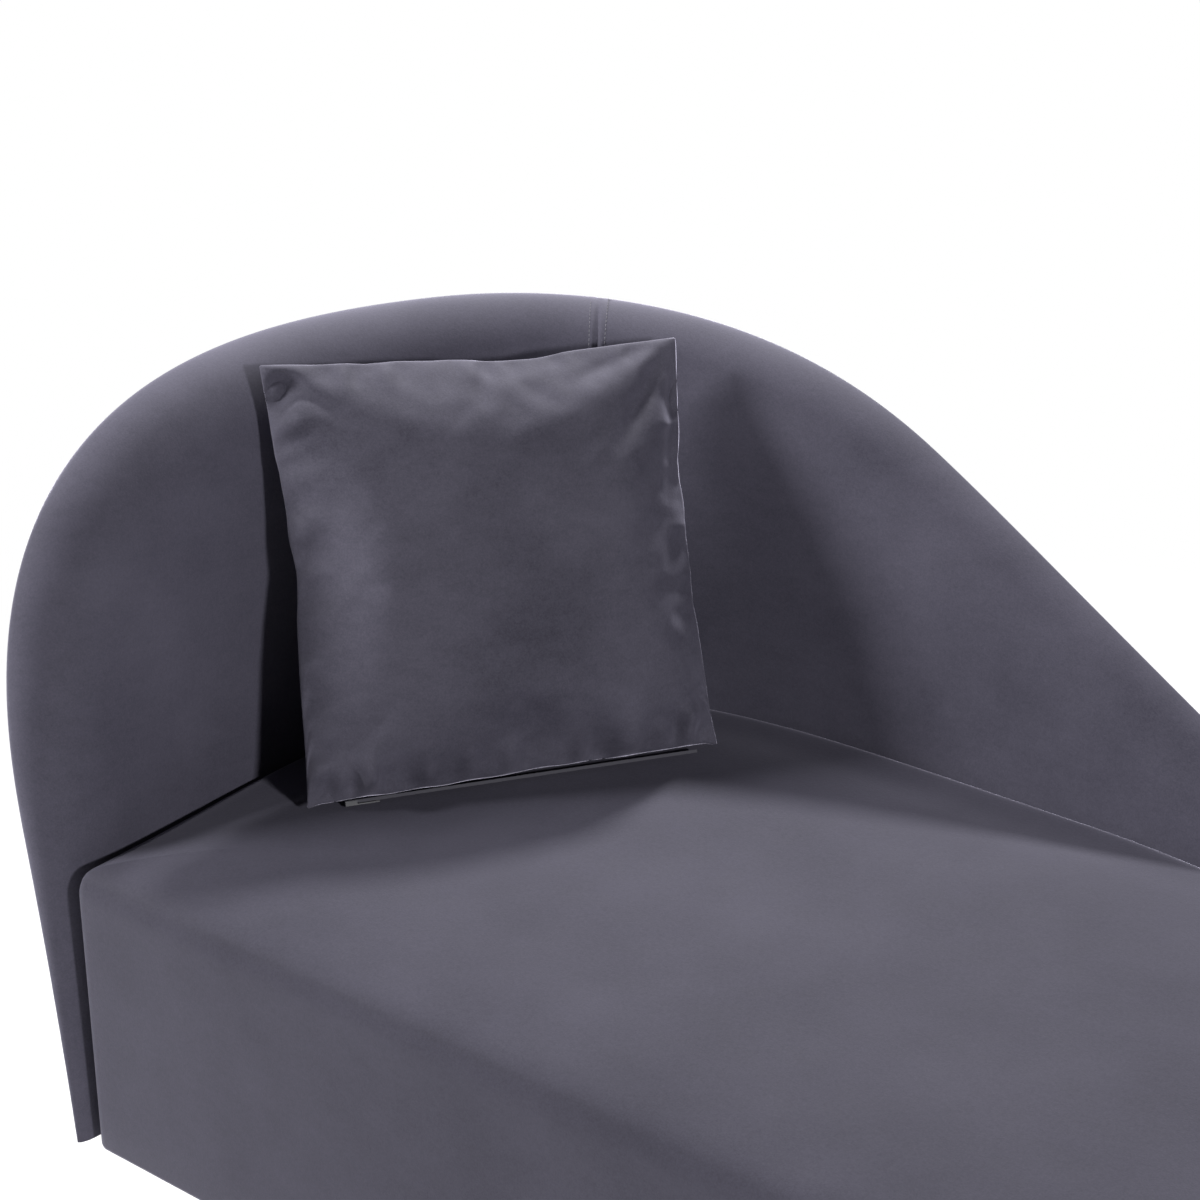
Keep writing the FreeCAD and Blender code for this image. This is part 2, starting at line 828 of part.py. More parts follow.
def buildWall():
    noseFront = [0.5, 1.2, 2.3]
    noseTail = [wallEnd - 2.3, wallEnd - 1.2, wallEnd - 0.5]
    parts["inside_cover_head"] = insideCoverSolid(headStations, noseFront)
    parts["inside_cover_back"] = insideCoverSolid(footStations, noseTail)
    parts["outside_cover"] = outsideCoverSolid()
    parts["wall_panel"] = panelSolid()
    first, last = panelEndGap + 1.0, wallEnd - panelEndGap - 1.0
    headFoam = [foamSolid(first, seamStation), edgeRollSolid(False)]
    backFoam = [foamSolid(seamStation, last), edgeRollSolid(True)]
    parts["wall_foam_head"] = Part.makeCompound(headFoam)
    parts["wall_foam_back"] = Part.makeCompound(backFoam)
    parts["seam_stitching"] = Part.makeCompound([stitchLine(-stitchOffset), stitchLine(stitchOffset)])
    parts["fixing_battens"] = Part.makeCompound([battenSolid(s) for s in battenStations])
    parts["wall_bolts"] = Part.makeCompound([boltSolid(s) for s in battenStations])


# throw pillow
def pillowAxes():
    turn, lean = math.radians(pillowTurn), math.radians(pillowLean)
    across = Vec(math.cos(turn), math.sin(turn), 0)
    back = Vec(-math.sin(turn), math.cos(turn), 0)
    up = Vec(0, 0, 1) * math.cos(lean) + back * math.sin(lean)
    face = across.cross(up)
    return across, up, face


def pillowPoint(u, v, n):
    across, up, face = pillowAxes()
    lean = math.radians(pillowLean)
    hang = (zipGap + zipDepth + sliderDepth) * math.cos(lean) + sliderHalfThickness * math.sin(lean)
    foot = Vec(pillowFootX, pillowFootY, seatLevel + seatCrown + pillowSeatGap + hang)
    return foot + across * u + up * (v + 0.5 * pillowHeight) + face * n


def pillowSpan(u):
    # half height and half thickness of the pillow at a distance u from its middle
    half = 0.5 * pillowWidth
    share = min(1.0, abs(u) / half)
    draw = pillowSideDraw * (1.0 - share ** 2)
    thick = pillowBulge * (1.0 - share ** 2.6) ** 0.62
    return draw, max(thick, 2.6)


def archPoints(u, draw, thick, side, steps=6):
    # one arch of the pillow's face, from the straight lower edge to the drawn-in upper edge
    low = -0.5 * pillowHeight
    high = 0.5 * pillowHeight - draw
    points = []
    for i in range(steps + 1):
        v = -0.35 * math.cos(math.pi * i / steps) + 0.65 * (-1.0 + 2.0 * i / steps)
        n = thick * (1.0 - abs(v) ** 2.3) ** 0.72
        points.append(pillowPoint(u, 0.5 * (low + high) + 0.5 * v * (high - low), side * n))
    return points


pillowStations = [-0.995, -0.95, -0.82, -0.58, -0.22, 0.22, 0.58, 0.82, 0.95, 0.995]


def pillowHalf(side):
    sections = []
    for share in pillowStations:
        u = share * (0.5 * pillowWidth)
        draw, thick = pillowSpan(u)
        skin = archPoints(u, draw, thick, side)
        sections.append([straight(skin + [skin[0]])])
    return loftSections(sections)


def pillowBar(u0, u1, v0, v1, n0, n1):
    corners = [pillowPoint(u0, v, n) for v, n in ((v0, n0), (v1, n0), (v1, n1), (v0, n1))]
    across = pillowAxes()[0]
    return Part.Face(Part.makePolygon(corners + [corners[0]])).extrude(across * (u1 - u0))


def buildPillow():
    parts["pillow_front"] = pillowHalf(1.0)
    parts["pillow_back"] = pillowHalf(-1.0)
    edge = -0.5 * pillowHeight
    half = 0.5 * pillowWidth - zipEndGap
    chainTop = edge - zipGap
    parts["zip_chain"] = pillowBar(-half, half, chainTop - zipDepth, chainTop, -1.2, 1.2)
    base = chainTop - zipDepth
    thick = sliderHalfThickness
    body = pillowBar(-half, -half + 11.0, base - sliderDepth, chainTop - 0.6, -thick, thick)
    slot = pillowBar(-half - 2.0, -half + 13.0, base - 0.35, chainTop + 3.0, -1.55, 1.55)
    body = body.cut(slot)
    tab = pillowBar(-half + 11.0, -half + 32.0, base - sliderDepth, base - 0.7, -2.4, 2.4)
    parts["zip_slider"] = body.fuse(tab)


# export
def wallReach():
    # furthest points of the wall's outer face towards the head and towards the rear
    least, most = 0.0, 0.0
    for i in range(90):
        s = 100.0 + 10.0 * i
        top = rimHeight(s)
        for k in range(24):
            z = top - 4.0 - 3.0 * k
            point = place(s, wallOffset(s, z, 0.0, "outer"), z)
            least = min(least, point.x)
            most = max(most, point.y)
    return least, most


def exportParts():
    headReach, rearReach = wallReach()
    frontReach = min(planPoint(0.0)[1] + 0.5, seatFront)
    originX = 0.5 * (seatFoot + headReach)
    originY = 0.5 * (rearReach + frontReach)
    os.makedirs("parts", exist_ok=True)
    for name in sorted(os.listdir("parts")):
        if name.endswith(".step"):
            os.remove(os.path.join("parts", name))
    low = [1.0e9, 1.0e9, 1.0e9]
    high = [-1.0e9, -1.0e9, -1.0e9]
    for name, shape in parts.items():
        shape = shape.copy()
        shape.translate(Vec(-originX, -originY, 0.0))
        solids = shape.Solids
        bounds = shape.BoundBox
        values = [bounds.XMin, bounds.YMin, bounds.ZMin, bounds.XMax, bounds.YMax, bounds.ZMax]
        for i in range(3):
            low[i] = min(low[i], values[i])
            high[i] = max(high[i], values[i + 3])
        volume = sum(solid.Volume for solid in solids) / 1000.0
        line = "%-20s solids %2d valid %s %9.1f cm3" % (name, len(solids), shape.isValid(), volume)
        print(line, " ".join("%.1f" % v for v in values))
        out = solids[0] if len(solids) == 1 else Part.makeCompound(solids)
        out.exportStep(os.path.join("parts", name + ".step"))
    print("pieces", len(parts), "origin", round(originX, 2), round(originY, 2))
    print("whole", [round(v, 1) for v in low], [round(v, 1) for v in high])


buildWall()
buildSeat()
buildFrame()
buildSprings()
buildLegs()
buildPillow()
exportParts()
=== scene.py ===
import bpy
import bmesh
import math
import numpy as np
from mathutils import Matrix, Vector, noise
from mathutils.geometry import delaunay_2d_cdt


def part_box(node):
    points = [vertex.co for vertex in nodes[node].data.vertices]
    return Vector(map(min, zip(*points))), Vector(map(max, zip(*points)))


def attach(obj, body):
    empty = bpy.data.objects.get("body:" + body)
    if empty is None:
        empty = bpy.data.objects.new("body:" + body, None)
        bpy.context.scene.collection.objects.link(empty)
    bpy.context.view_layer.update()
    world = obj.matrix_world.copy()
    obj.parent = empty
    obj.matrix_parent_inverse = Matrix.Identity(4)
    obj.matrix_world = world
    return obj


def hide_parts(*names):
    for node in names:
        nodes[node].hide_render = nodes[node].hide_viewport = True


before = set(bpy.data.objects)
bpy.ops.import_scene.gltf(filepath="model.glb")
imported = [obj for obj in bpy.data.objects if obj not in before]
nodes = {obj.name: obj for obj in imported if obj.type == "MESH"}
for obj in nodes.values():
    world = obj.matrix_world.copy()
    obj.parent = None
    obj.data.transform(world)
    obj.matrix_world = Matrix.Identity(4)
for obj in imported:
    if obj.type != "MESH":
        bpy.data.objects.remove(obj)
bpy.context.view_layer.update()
print("frame loaded:", len(nodes), "nodes")

# the chaise is drawn in millimetres from its own inner corner, then moved to the frame
perMetre = 1000
plan = {
    "cornerLength": 577.6,
    "cornerWidth": 643.4,
    "cornerPower": 3.58,
    "cornerSteps": 3001,
    "frontSetback": 8.2,
    "frontRun": 12.0,  # up to here the wall runs straight to the back
    "tailX": 960.0,
    "runOn": 3000.0,  # straight line past the corner, longer than the chaise
    "feel": 4.0,  # half the stretch that gives a direction
    "footRailFace": 1587.3,
    "rearRailFace": -4.7,
}
originX = plan["footRailFace"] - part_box("foot_rail")[1].x * perMetre
originY = plan["rearRailFace"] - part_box("rear_rail")[1].y * perMetre


def toFrame(points):
    moved = np.array(points, dtype=float)
    moved[..., 0] -= originX
    moved[..., 1] -= originY
    return moved / perMetre


def lengths(points):
    # length along a line, at each of its points
    return np.concatenate([[0], np.cumsum(np.linalg.norm(np.diff(points, axis=0), axis=1))])


def eased(share):
    # a soft start and stop between 0 and 1
    return share * share * (3 - 2 * share)


def hill(away, width):
    # a bell of height 1
    return np.exp(-(away / width) ** 2)


def planLine():
    # stations along the wall's line on the floor, and the places they stand for
    turn = np.linspace(0, math.pi / 2, plan["cornerSteps"])
    power = 2 / plan["cornerPower"]
    x = plan["cornerLength"] * (1 - np.abs(np.cos(turn)) ** power)
    y = plan["cornerWidth"] * (np.sin(turn) ** power - 1)
    s = lengths(np.column_stack([x, y])) - plan["frontSetback"]
    end = plan["runOn"]
    return np.append(s, s[-1] + end), np.append(x, x[-1] + end), np.append(y, 0)


planS, planX, planY = planLine()
straightStart = planS[-2]
wallEnd = straightStart + plan["tailX"] - plan["cornerLength"]


def place(s, out, z):
    # points at stations s along the wall, so far outward, at heights z
    s, out, z = np.broadcast_arrays(np.asarray(s, float), out, z)
    x, y = np.interp(s, planS, planX), np.interp(s, planS, planY)
    ahead, behind = s + plan["feel"], s - plan["feel"]
    tx = np.interp(ahead, planS, planX) - np.interp(behind, planS, planX)
    ty = np.interp(ahead, planS, planY) - np.interp(behind, planS, planY)
    size = np.hypot(tx, ty)
    front = s < plan["frontRun"]
    tx, ty = np.where(front, 0, tx / size), np.where(front, 1, ty / size)
    return np.stack([x - ty * out, y + tx * out, z], axis=-1)


# the wall: its rim over the stations, and how far out its two faces stand
wall = {
    "hem": 137.0,
    "seatLevel": 430.0,
    "rimPeak": 816.0,
    "frontRimStart": 405.7,
    "archRun": 469.5,
    "archPower": 2.815,
    "archSteps": 161,
    "flatRun": 25.3,
    "shoulderRadius": 839.3,
    "shoulderSteps": 41,
    "slope": math.radians(29.2),
    "tailNose": 60.0,
    "noseSteps": 25,
    "innerLean": math.radians(8.0),
    "leanEase": 20.0,
    "foot": 18.0,
    "outerBase": 136.0,
    "outerLean": 66.0,
    "outerFlare": 48.3,
    "flareHeight": 645.0,
    "crestShare": 0.74,
    "innerRoll": 85.0,
    "outerRoll": 50.7,
    "liningStart": 30.0,
    "liningRun": 170.0,
    "liningRise": 150.0,
}


def rimLine():
    # stations and heights of the rim: front edge, arch, shoulder, slope, nose and tail edge
    peak, slope, radius = wall["rimPeak"], wall["slope"], wall["shoulderRadius"]
    points = [(0.0, wall["hem"]), (0.0, wall["frontRimStart"])]
    rise, power = peak - wall["frontRimStart"], 2 / wall["archPower"]
    for turn in np.linspace(0, math.pi / 2, wall["archSteps"])[1:]:
        s = wall["archRun"] * (1 - abs(math.cos(turn)) ** power)
        points.append((s, wall["frontRimStart"] + rise * math.sin(turn) ** power))
    shoulder = wall["archRun"] + wall["flatRun"]
    for turn in np.linspace(0, slope, wall["shoulderSteps"]):
        drop = radius * (1 - math.cos(turn))
        points.append((shoulder + radius * math.sin(turn), peak - drop))
    startS, startZ = points[-1]
    nose = wall["tailNose"]
    noseS = wallEnd - nose
    top = startZ - (noseS + nose * math.sin(slope) - startS) * math.tan(slope)
    noseZ = top - nose * math.cos(slope)
    for turn in np.linspace(slope, math.pi / 2, wall["noseSteps"]):
        points.append((noseS + nose * math.sin(turn), noseZ + nose * math.cos(turn)))
    points.append((wallEnd, wall["hem"]))
    return np.array(points)


rim = rimLine()
rimRun = lengths(rim)
rimLength = rimRun[-1]


def rimPoint(run):
    return np.stack([np.interp(run, rimRun, rim[:, k]) for k in (0, 1)], axis=-1)


def rimDepth(s, z):
    # distance from the rim, but not from the hem
    p = np.stack([s.ravel(), z.ravel()], axis=-1)
    best = np.full(len(p), np.inf)
    for a, b in zip(rim[:-1], rim[1:]):
        run = b - a
        share = np.clip(((p - a) @ run) / (run @ run), 0, 1)
        away = p - a - share[:, None] * run
        best = np.minimum(best, np.hypot(away[:, 0], away[:, 1]))
    return best.reshape(s.shape)


def innerFace(z):
    # upright along the seat, leaning back above it
    rise = z - wall["seatLevel"]
    return 0.5 * (rise + np.sqrt(rise * rise + wall["leanEase"] ** 2)) * math.tan(wall["innerLean"])


def outerFace(z):
    share = (z - wall["outerBase"]) / wall["flareHeight"]
    return wall["foot"] + wall["outerLean"] * share + wall["outerFlare"] * share * share


def rollOf(inner):
    return wall["innerRoll"] if inner else wall["outerRoll"]


def wallOffset(z, depth, inner):
    # how far out a face stands; near the rim it rolls over to the crest
    near, far = innerFace(z), outerFace(z)
    crest = near + wall["crestShare"] * (far - near)
    share = np.clip(depth / rollOf(inner), 0, 1)
    swell = np.sqrt(np.maximum(0, 1 - (1 - share) ** 2))
    return crest + ((near if inner else far) - crest) * swell


def hemHeight(s):
    # the lining's hem: at the base near both ends and above the fixings between them
    share = np.clip((np.minimum(s, wallEnd - s) - wall["liningStart"]) / wall["liningRun"], 0, 1)
    return wall["hem"] + eased(share) * wall["liningRise"]


# the upright seam; dents and swellings beside it are height, distance from it and width
stitchRow = 6.2
seam = {
    "at": 608.0,
    "rearDepth": 25.0,
    "columns": [0.0, 1.0, 2.2, 3.4, 4.8, 6.2, 7.6, 9.6, 12.5, 17.0],
    "clear": 22.0,
    "inner": [(-2.4, 0.0, 1.7), (1.0, 4.2, 2.4), (-0.5, stitchRow, 0.8), (0.5, 11.0, 5.0)],
    "outer": [(-2.4, 0.0, 1.7), (0.8, 4.2, 2.4)],
}
seamRun = float(np.interp(seam["at"], rim[1:-1, 0], rimRun[1:-1]))


def seamRelief(s, shapes):
    off = np.abs(s - seam["at"])
    return sum(height * hill(off - away, width) for height, away, width in shapes)


# the courses that the covers' points follow from the rim to the hem
courses = {
    "feel": 6.0,
    "uprightNear": 90.0,  # near the seam they run straight down
    "footMargin": 50.0,
    "footByRun": 0.35,
    "shiftNear": 260.0,
    "holdNear": 30.0,
    "rollShare": 0.6,
    "fillRows": 16,
}


def footStation(run, s):
    margin, byRun = courses["footMargin"], courses["footByRun"]
    share = byRun * run / rimLength + (1 - byRun) * s / wallEnd
    return margin + (wallEnd - 2 * margin) * share


def wallRays(runs, depths, inner):
    # lines that start square to the rim and end on the hem; one row per ray
    def unit(v):
        return v / np.hypot(v[:, 0], v[:, 1])[:, None]

    point = rimPoint(runs)
    along = unit(rimPoint(runs + courses["feel"]) - rimPoint(runs - courses["feel"]))
    offSeam = runs - seamRun
    upright = hill(offSeam, courses["uprightNear"])[:, None]
    square = np.stack([along[:, 1], -along[:, 0]], axis=-1)
    square = unit(square * (1 - upright) + np.array([[0, -1]]) * upright)
    seamShift = seam["at"] - footStation(seamRun, seam["at"])
    footS = footStation(runs, point[:, 0]) + seamShift * hill(offSeam, courses["shiftNear"])
    held = np.exp(-(offSeam / courses["holdNear"]) ** 4)
    footS = footS * (1 - held) + point[:, 0] * held
    footZ = hemHeight(footS) if inner else np.full_like(footS, wall["hem"])
    foot = np.stack([footS, footZ], axis=-1)
    reach = np.hypot(*(foot - point).T)
    share = depths[None, :] / np.maximum(reach, rollOf(inner) / courses["rollShare"])[:, None]
    start = share[:, -1:]
    extra = np.arange(1, courses["fillRows"] + 1)[None, :] / courses["fillRows"]
    share = np.concatenate([share, start + (1 - start) * extra], axis=1)
    bend = eased(share)[..., None]
    straight = ((foot - point) / reach[:, None])[:, None, :]
    course = square[:, None, :] * (1 - bend) + straight * bend
    path = point[:, None, :] + (share * reach[:, None])[..., None] * course
    return np.clip(path[..., 0], 0, wallEnd), np.maximum(path[..., 1], wall["hem"])


# the velvet over the wall; ripples are height, size and seed
cover = {
    "columnStep": 13.0,
    "innerRows": 15,
    "upperRows": 9,
    "lowerRows": 5,
    "seamOpen": 0.8,
    "seamTurn": 3.0,  # degrees of the roll between the two covers' rows
    "settledDepth": 60.0,
    "ripple": 0.9,
    "ripples": [(1.2, 210, 3.1), (0.5, 70, 7.7)],
    "rimRipple": 0.35,
    "rearRipple": (0.8, 240, 5.3),
    "lip": 3.0,
    "lipDrop": 0.9,
    "hemFold": [(1.5, -0.9), (9.0, 0.2)],  # inward and up
}


def softNoise(s, z, size, seed):
    # slow waves in padding, from -1 to 1
    flat = [noise.noise(Vector((a / size, b / size, seed))) for a, b in zip(s.ravel(), z.ravel())]
    return np.array(flat).reshape(s.shape)


def rollDepths(roll, first, last, count):
    # distances from the rim that divide the roll into equal turns
    return roll * (1 - np.cos(np.radians(np.linspace(first, last, count))))


seamLine = seam["rearDepth"] - cover["seamOpen"]
seamTurn = math.degrees(math.acos(1 - seamLine / wall["outerRoll"]))
innerDepths = rollDepths(wall["innerRoll"], 0, 90, cover["innerRows"])
upperDepths = rollDepths(wall["outerRoll"], 0, seamTurn, cover["upperRows"])
lowerDepths = rollDepths(wall["outerRoll"], seamTurn + cover["seamTurn"], 90, cover["lowerRows"])


def columnRuns(first, last, side):
    # where the columns of points start on the rim, closer together beside the seam
    count = int(round((last - first) / cover["columnStep"]))
    runs = [r for r in np.linspace(first, last, count + 1) if abs(r - seamRun) > seam["clear"]]
    runs += [seamRun + side * c for c in seam["columns"]]
    return np.array(sorted(runs))


def settledBy(depth):
    return np.clip(depth / cover["settledDepth"], 0, 1)


def column(s, out, z):
    return place(s, out, z)[:, None, :]


def insideCover(runs):
    # from the hem up the inner face, over the roll and down to the rear seam's lip
    s, z = wallRays(runs, innerDepths, True)
    depth = rimDepth(s, z)
    depth[:, 0] = 0
    wave = sum(height * softNoise(s, z, size, seed) for height, size, seed in cover["ripples"])
    calm = cover["rimRipple"]
    wave = cover["ripple"] * wave * (calm + (1 - calm) * settledBy(depth))
    out = wallOffset(z, depth, True) - wave - seamRelief(s, seam["inner"])
    near = place(s, out, z)[:, ::-1]
    s, z = wallRays(runs, upperDepths, False)
    s, z = s[:, :len(upperDepths)], z[:, :len(upperDepths)]
    depth = rimDepth(s, z)
    depth[:, 0] = 0
    out = wallOffset(z, depth, False) + seamRelief(s, seam["outer"])
    far = place(s, out, z)[:, 1:]
    lip = column(s[:, -1], out[:, -1] - cover["lip"], z[:, -1] - cover["lipDrop"])
    return np.concatenate([near, far, lip], axis=1)


def outsideCover(runs):
    # from the seam's lip down the outer face and under the hem
    s, z = wallRays(runs, lowerDepths, False)
    depth = rimDepth(s, z)
    height, size, seed = cover["rearRipple"]
    out = wallOffset(z, depth, False) + height * settledBy(depth) * softNoise(s, z, size, seed)
    lip = column(s[:, 0], out[:, 0] - cover["lip"], z[:, 0] + cover["lipDrop"])
    fold = [column(s[:, -1], out[:, -1] - inward, z[:, -1] + up) for inward, up in cover["hemFold"]]
    return np.concatenate([lip, place(s, out, z), *fold], axis=1)


def finished(name, mesh, smooth=True):
    mesh.validate()
    mesh.update()
    mesh.polygons.foreach_set("use_smooth", [smooth] * len(mesh.polygons))
    piece = bpy.data.objects.new(name, mesh)
    bpy.context.scene.collection.objects.link(piece)
    return piece


def fromBody(name, body):
    mesh = bpy.data.meshes.new(name)
    body.to_mesh(mesh)
    body.free()
    return finished(name, mesh)


def gridMesh(name, points, facing):
    # a smooth sheet from a grid of points, turned so that its middle faces the given way
    rows, columns = points.shape[:2]
    faces = []
    for i in range(rows - 1):
        for j in range(columns - 1):
            a = i * columns + j
            faces.append((a, a + 1, a + columns + 1, a + columns))
    mesh = bpy.data.meshes.new(name)
    mesh.from_pydata([tuple(p) for p in toFrame(points).reshape(-1, 3)], [], faces)
    middle = mesh.polygons[len(faces) // 2]
    if Vector(middle.normal).dot(Vector(facing)) < 0:
        mesh.flip_normals()
    return finished(name, mesh)


def subdivided(piece):
    modifier = piece.modifiers.new("smoother", "SUBSURF")
    modifier.levels = 1
    modifier.render_levels = 1
    return piece


headRuns = columnRuns(0.0, seamRun, -1)
backRuns = columnRuns(seamRun, rimLength, 1)
allRuns = np.array(sorted(set(headRuns) | set(backRuns)))
insideHead = gridMesh("insideCoverHead", insideCover(headRuns), (0.7, -0.7, 0))
insideBack = gridMesh("insideCoverBack", insideCover(backRuns), (0, -1, 0))
outside = gridMesh("outsideCover", outsideCover(allRuns), (-0.5, 0.7, 0))
wallCovers = (insideHead, insideBack, outside)
for piece in wallCovers:
    subdivided(piece)
    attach(piece, "chaise")
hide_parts("inside_cover_head", "wall_foam_head")
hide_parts("inside_cover_back", "wall_foam_back")
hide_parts("outside_cover")
print("wall covers:", *[len(piece.data.vertices) for piece in wallCovers])

# two rows of stitches beside the upright seam
stitches = {
    "length": 3.4,
    "gap": 1.3,
    "radius": 0.55,
    "proud": 0.1,
    "sides": 6,
    "first": 1.0,
    "underRim": 0.5,
    "overSeat": 6.0,
    "samples": 4000,
    "skew": (0.3, 0.4, 0.86),  # a direction that no stitch runs in
    "shape": ((0.0, 0.35), (0.18, 0.85), (0.5, 1.0), (0.82, 0.85), (1.0, 0.35)),
}


def skinned(body, rings):
    # closes a stack of rings into one form
    for low, high in zip(rings[:-1], rings[1:]):
        for k in range(len(low)):
            n = (k + 1) % len(low)
            body.faces.new((low[k], low[n], high[n], high[k]))
    body.faces.new(rings[0][::-1])
    body.faces.new(rings[-1])


def oneStitch(body, a, b):
    # thick in its middle and thin at both ends, from a to b
    axis = (b - a).normalized()
    side = axis.cross(Vector(stitches["skew"])).normalized()
    other = axis.cross(side)
    radius = stitches["radius"] / perMetre
    rings = []
    for share, size in stitches["shape"]:
        ring = []
        for k in range(stitches["sides"]):
            turn = 2 * math.pi * k / stitches["sides"]
            spoke = side * math.cos(turn) + other * math.sin(turn)
            ring.append(body.verts.new(a + (b - a) * share + spoke * radius * size))
        rings.append(ring)
    skinned(body, rings)


def stitchRows():
    body = bmesh.new()
    top = float(np.interp(seam["at"], rim[1:-1, 0], rim[1:-1, 1])) - stitches["underRim"]
    z = np.linspace(top, wall["seatLevel"] + stitches["overSeat"], stitches["samples"])
    for side in (-1, 1):
        s = np.full_like(z, seam["at"] + side * stitchRow)
        depth = rimDepth(s, z)
        depth[0] = 0
        line = toFrame(place(s, wallOffset(z, depth, True) - stitches["proud"], z))
        run = lengths(line) * perMetre

        def spot(at):
            return Vector([np.interp(at, run, line[:, k]) for k in range(3)])

        start = stitches["first"]
        while start + stitches["length"] < run[-1]:
            end = start + stitches["length"]
            oneStitch(body, spot(start), spot(end))
            start = end + stitches["gap"]
    return fromBody("seamStitches", body)


threadRows = stitchRows()
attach(threadRows, "chaise")
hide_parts("seam_stitching")
print("stitches made")

# the seat's box cover; its profile is inset and height, from the skirt's hem to the flat top
seat = {
    "front": -628.0,
    "foot": 1590.0,
    "footCorner": 160.0,
    "headCorner": 18.0,
    "footSmallest": 4.0,
    "headSmallest": 1.5,
    "gap": 2.0,
    "level": 430.0,
    "crown": 12.5,
    "firstStation": 60.0,
    "lastStation": straightStart - 28.0,
    "points": {"wall": 96, "rear": 26, "foot": 18, "front": 84, "head": 4},
    "cornerPoints": {"foot": 20, "head": 9},
    "profile": [
        (13.0, 139.0), (5.0, 137.4), (2.6, 138.0), (2.0, 141.0), (2.0, 190.0), (2.0, 250.0),
        (2.0, 310.0), (2.0, 360.0), (2.0, 390.0), (2.0, 402.0), (2.5, 408.0), (3.8, 413.5),
        (5.8, 418.5), (8.6, 422.6), (12.5, 426.2), (17.5, 429.0), (24.0, 431.4), (32.0, 433.2),
        (42.0, 435.0), (55.0, 437.1), (70.0, 439.2), (88.0, 440.9), (110.0, 442.0), (135.0, 442.5),
    ],
    "hem": 137.0,
    "rollStart": 402.0,
    "skirtCut": 277.0,
    "cutFades": (70.0, 20.0, 60.0, 20.0),  # head end's start and run, tail's distance and run
    "pressed": 0.62,
    "pressedFades": (62.0, 300.0, 30.0, 240.0),
    "pressedInset": (60.0, 50.0),
    "waveInset": (5.0, 60.0),
    "wave": 1.1,
    "waves": [(1.0, 230, 200, 1.7), (0.45, 80, 80, 9.2)],  # height, two sizes and seed
    "gridStep": 22.0,
    "gridClear": 0.55,
}
seatTop = seat["level"] + seat["crown"]


def cornerPoints(x, y, radius, first, last, count):
    turn = np.radians(np.linspace(first, last, count))
    return np.stack([x + radius * np.cos(turn), y + radius * np.sin(turn)], axis=-1)


def linePoints(a, b, count):
    # points between a and b, without the two themselves
    share = np.linspace(0, 1, count + 2)[1:-1, None]
    return np.array(a)[None, :] * (1 - share) + np.array(b)[None, :] * share


def seatStations(first):
    return np.linspace(first, seat["lastStation"], seat["points"]["wall"])


def seatOutline(inset):
    # points round the seat, the same number of them at every inset
    counts, bends = seat["points"], seat["cornerPoints"]
    rear = place(seatStations(seat["firstStation"] + inset), -inset, 0.0)[:, :2]
    small = max(seat["headCorner"] - inset, seat["headSmallest"])
    large = max(seat["footCorner"] - inset, seat["footSmallest"])
    front, foot = seat["front"] + inset - seat["gap"], seat["foot"] - inset + seat["gap"]
    left, back = rear[0, 0], rear[-1, 1]
    footX = foot - large
    cornerRear = cornerPoints(footX, back - large, large, 90, 0, bends["foot"])
    cornerFront = cornerPoints(footX, front + large, large, 0, -90, bends["foot"])
    cornerHead = cornerPoints(left + small, front + small, small, -90, -180, bends["head"])
    return np.concatenate([
        rear, linePoints(rear[-1], cornerRear[0], counts["rear"]),
        cornerRear, linePoints(cornerRear[-1], cornerFront[0], counts["foot"]),
        cornerFront, linePoints(cornerFront[-1], cornerHead[0], counts["front"]),
        cornerHead, linePoints(cornerHead[-1], rear[0], counts["head"]),
    ])


def seatHeight(x, y):
    # slow hollows and swellings of the padded top
    flat = [
        sum(h * noise.noise(Vector((a / m, b / n, seed))) for h, m, n, seed in seat["waves"])
        for a, b in zip(np.ravel(x), np.ravel(y))
    ]
    return seat["wave"] * np.array(flat).reshape(np.shape(x))


def alongWall(ring, fades):
    # 1 along the wall and 0 round the rest of the seat
    start, run, tail, tailRun = fades
    share = np.zeros(len(ring))
    count = seat["points"]["wall"]
    share[:count] = np.clip((seatStations(seat["firstStation"]) - start) / run, 0, 1)
    rear = np.arange(count, count + seat["points"]["rear"])
    share[rear] = np.clip((plan["tailX"] - tail - ring[rear, 0]) / tailRun, 0, 1)
    return share


def seatRing(inset, z):
    ring = seatOutline(inset)
    start, run = seat["waveInset"]
    settled = min(1.0, max(0.0, (inset - start) / run))
    height = z + settled * seatHeight(ring[:, 0], ring[:, 1])
    if z < seat["rollStart"]:
        # the skirt is cut short above the fixings along the wall
        cut = alongWall(ring, seat["cutFades"])
        low, high = seat["hem"], seat["rollStart"]
        raised = seat["skirtCut"] + (z - low) * (high - seat["skirtCut"]) / (high - low)
        height = height * (1 - cut) + raised * cut
    else:
        # the roll is shallow where the wall presses against it
        end, run = seat["pressedInset"]
        pressed = seat["pressed"] * eased(alongWall(ring, seat["pressedFades"]))
        height = seatTop - (seatTop - height) * (1 - pressed * np.clip((end - inset) / run, 0, 1))
    return np.column_stack([ring, height])


def turnedOut(mesh, hollow=False):
    # all faces look outward; on a hollow form, open below, the highest face looks up
    body = bmesh.new()
    body.from_mesh(mesh)
    bmesh.ops.recalc_face_normals(body, faces=body.faces)
    top = max(body.faces, key=lambda f: f.calc_center_median().z)
    if hollow and top.normal.z < 0:
        bmesh.ops.reverse_faces(body, faces=body.faces)
    body.to_mesh(mesh)
    body.free()


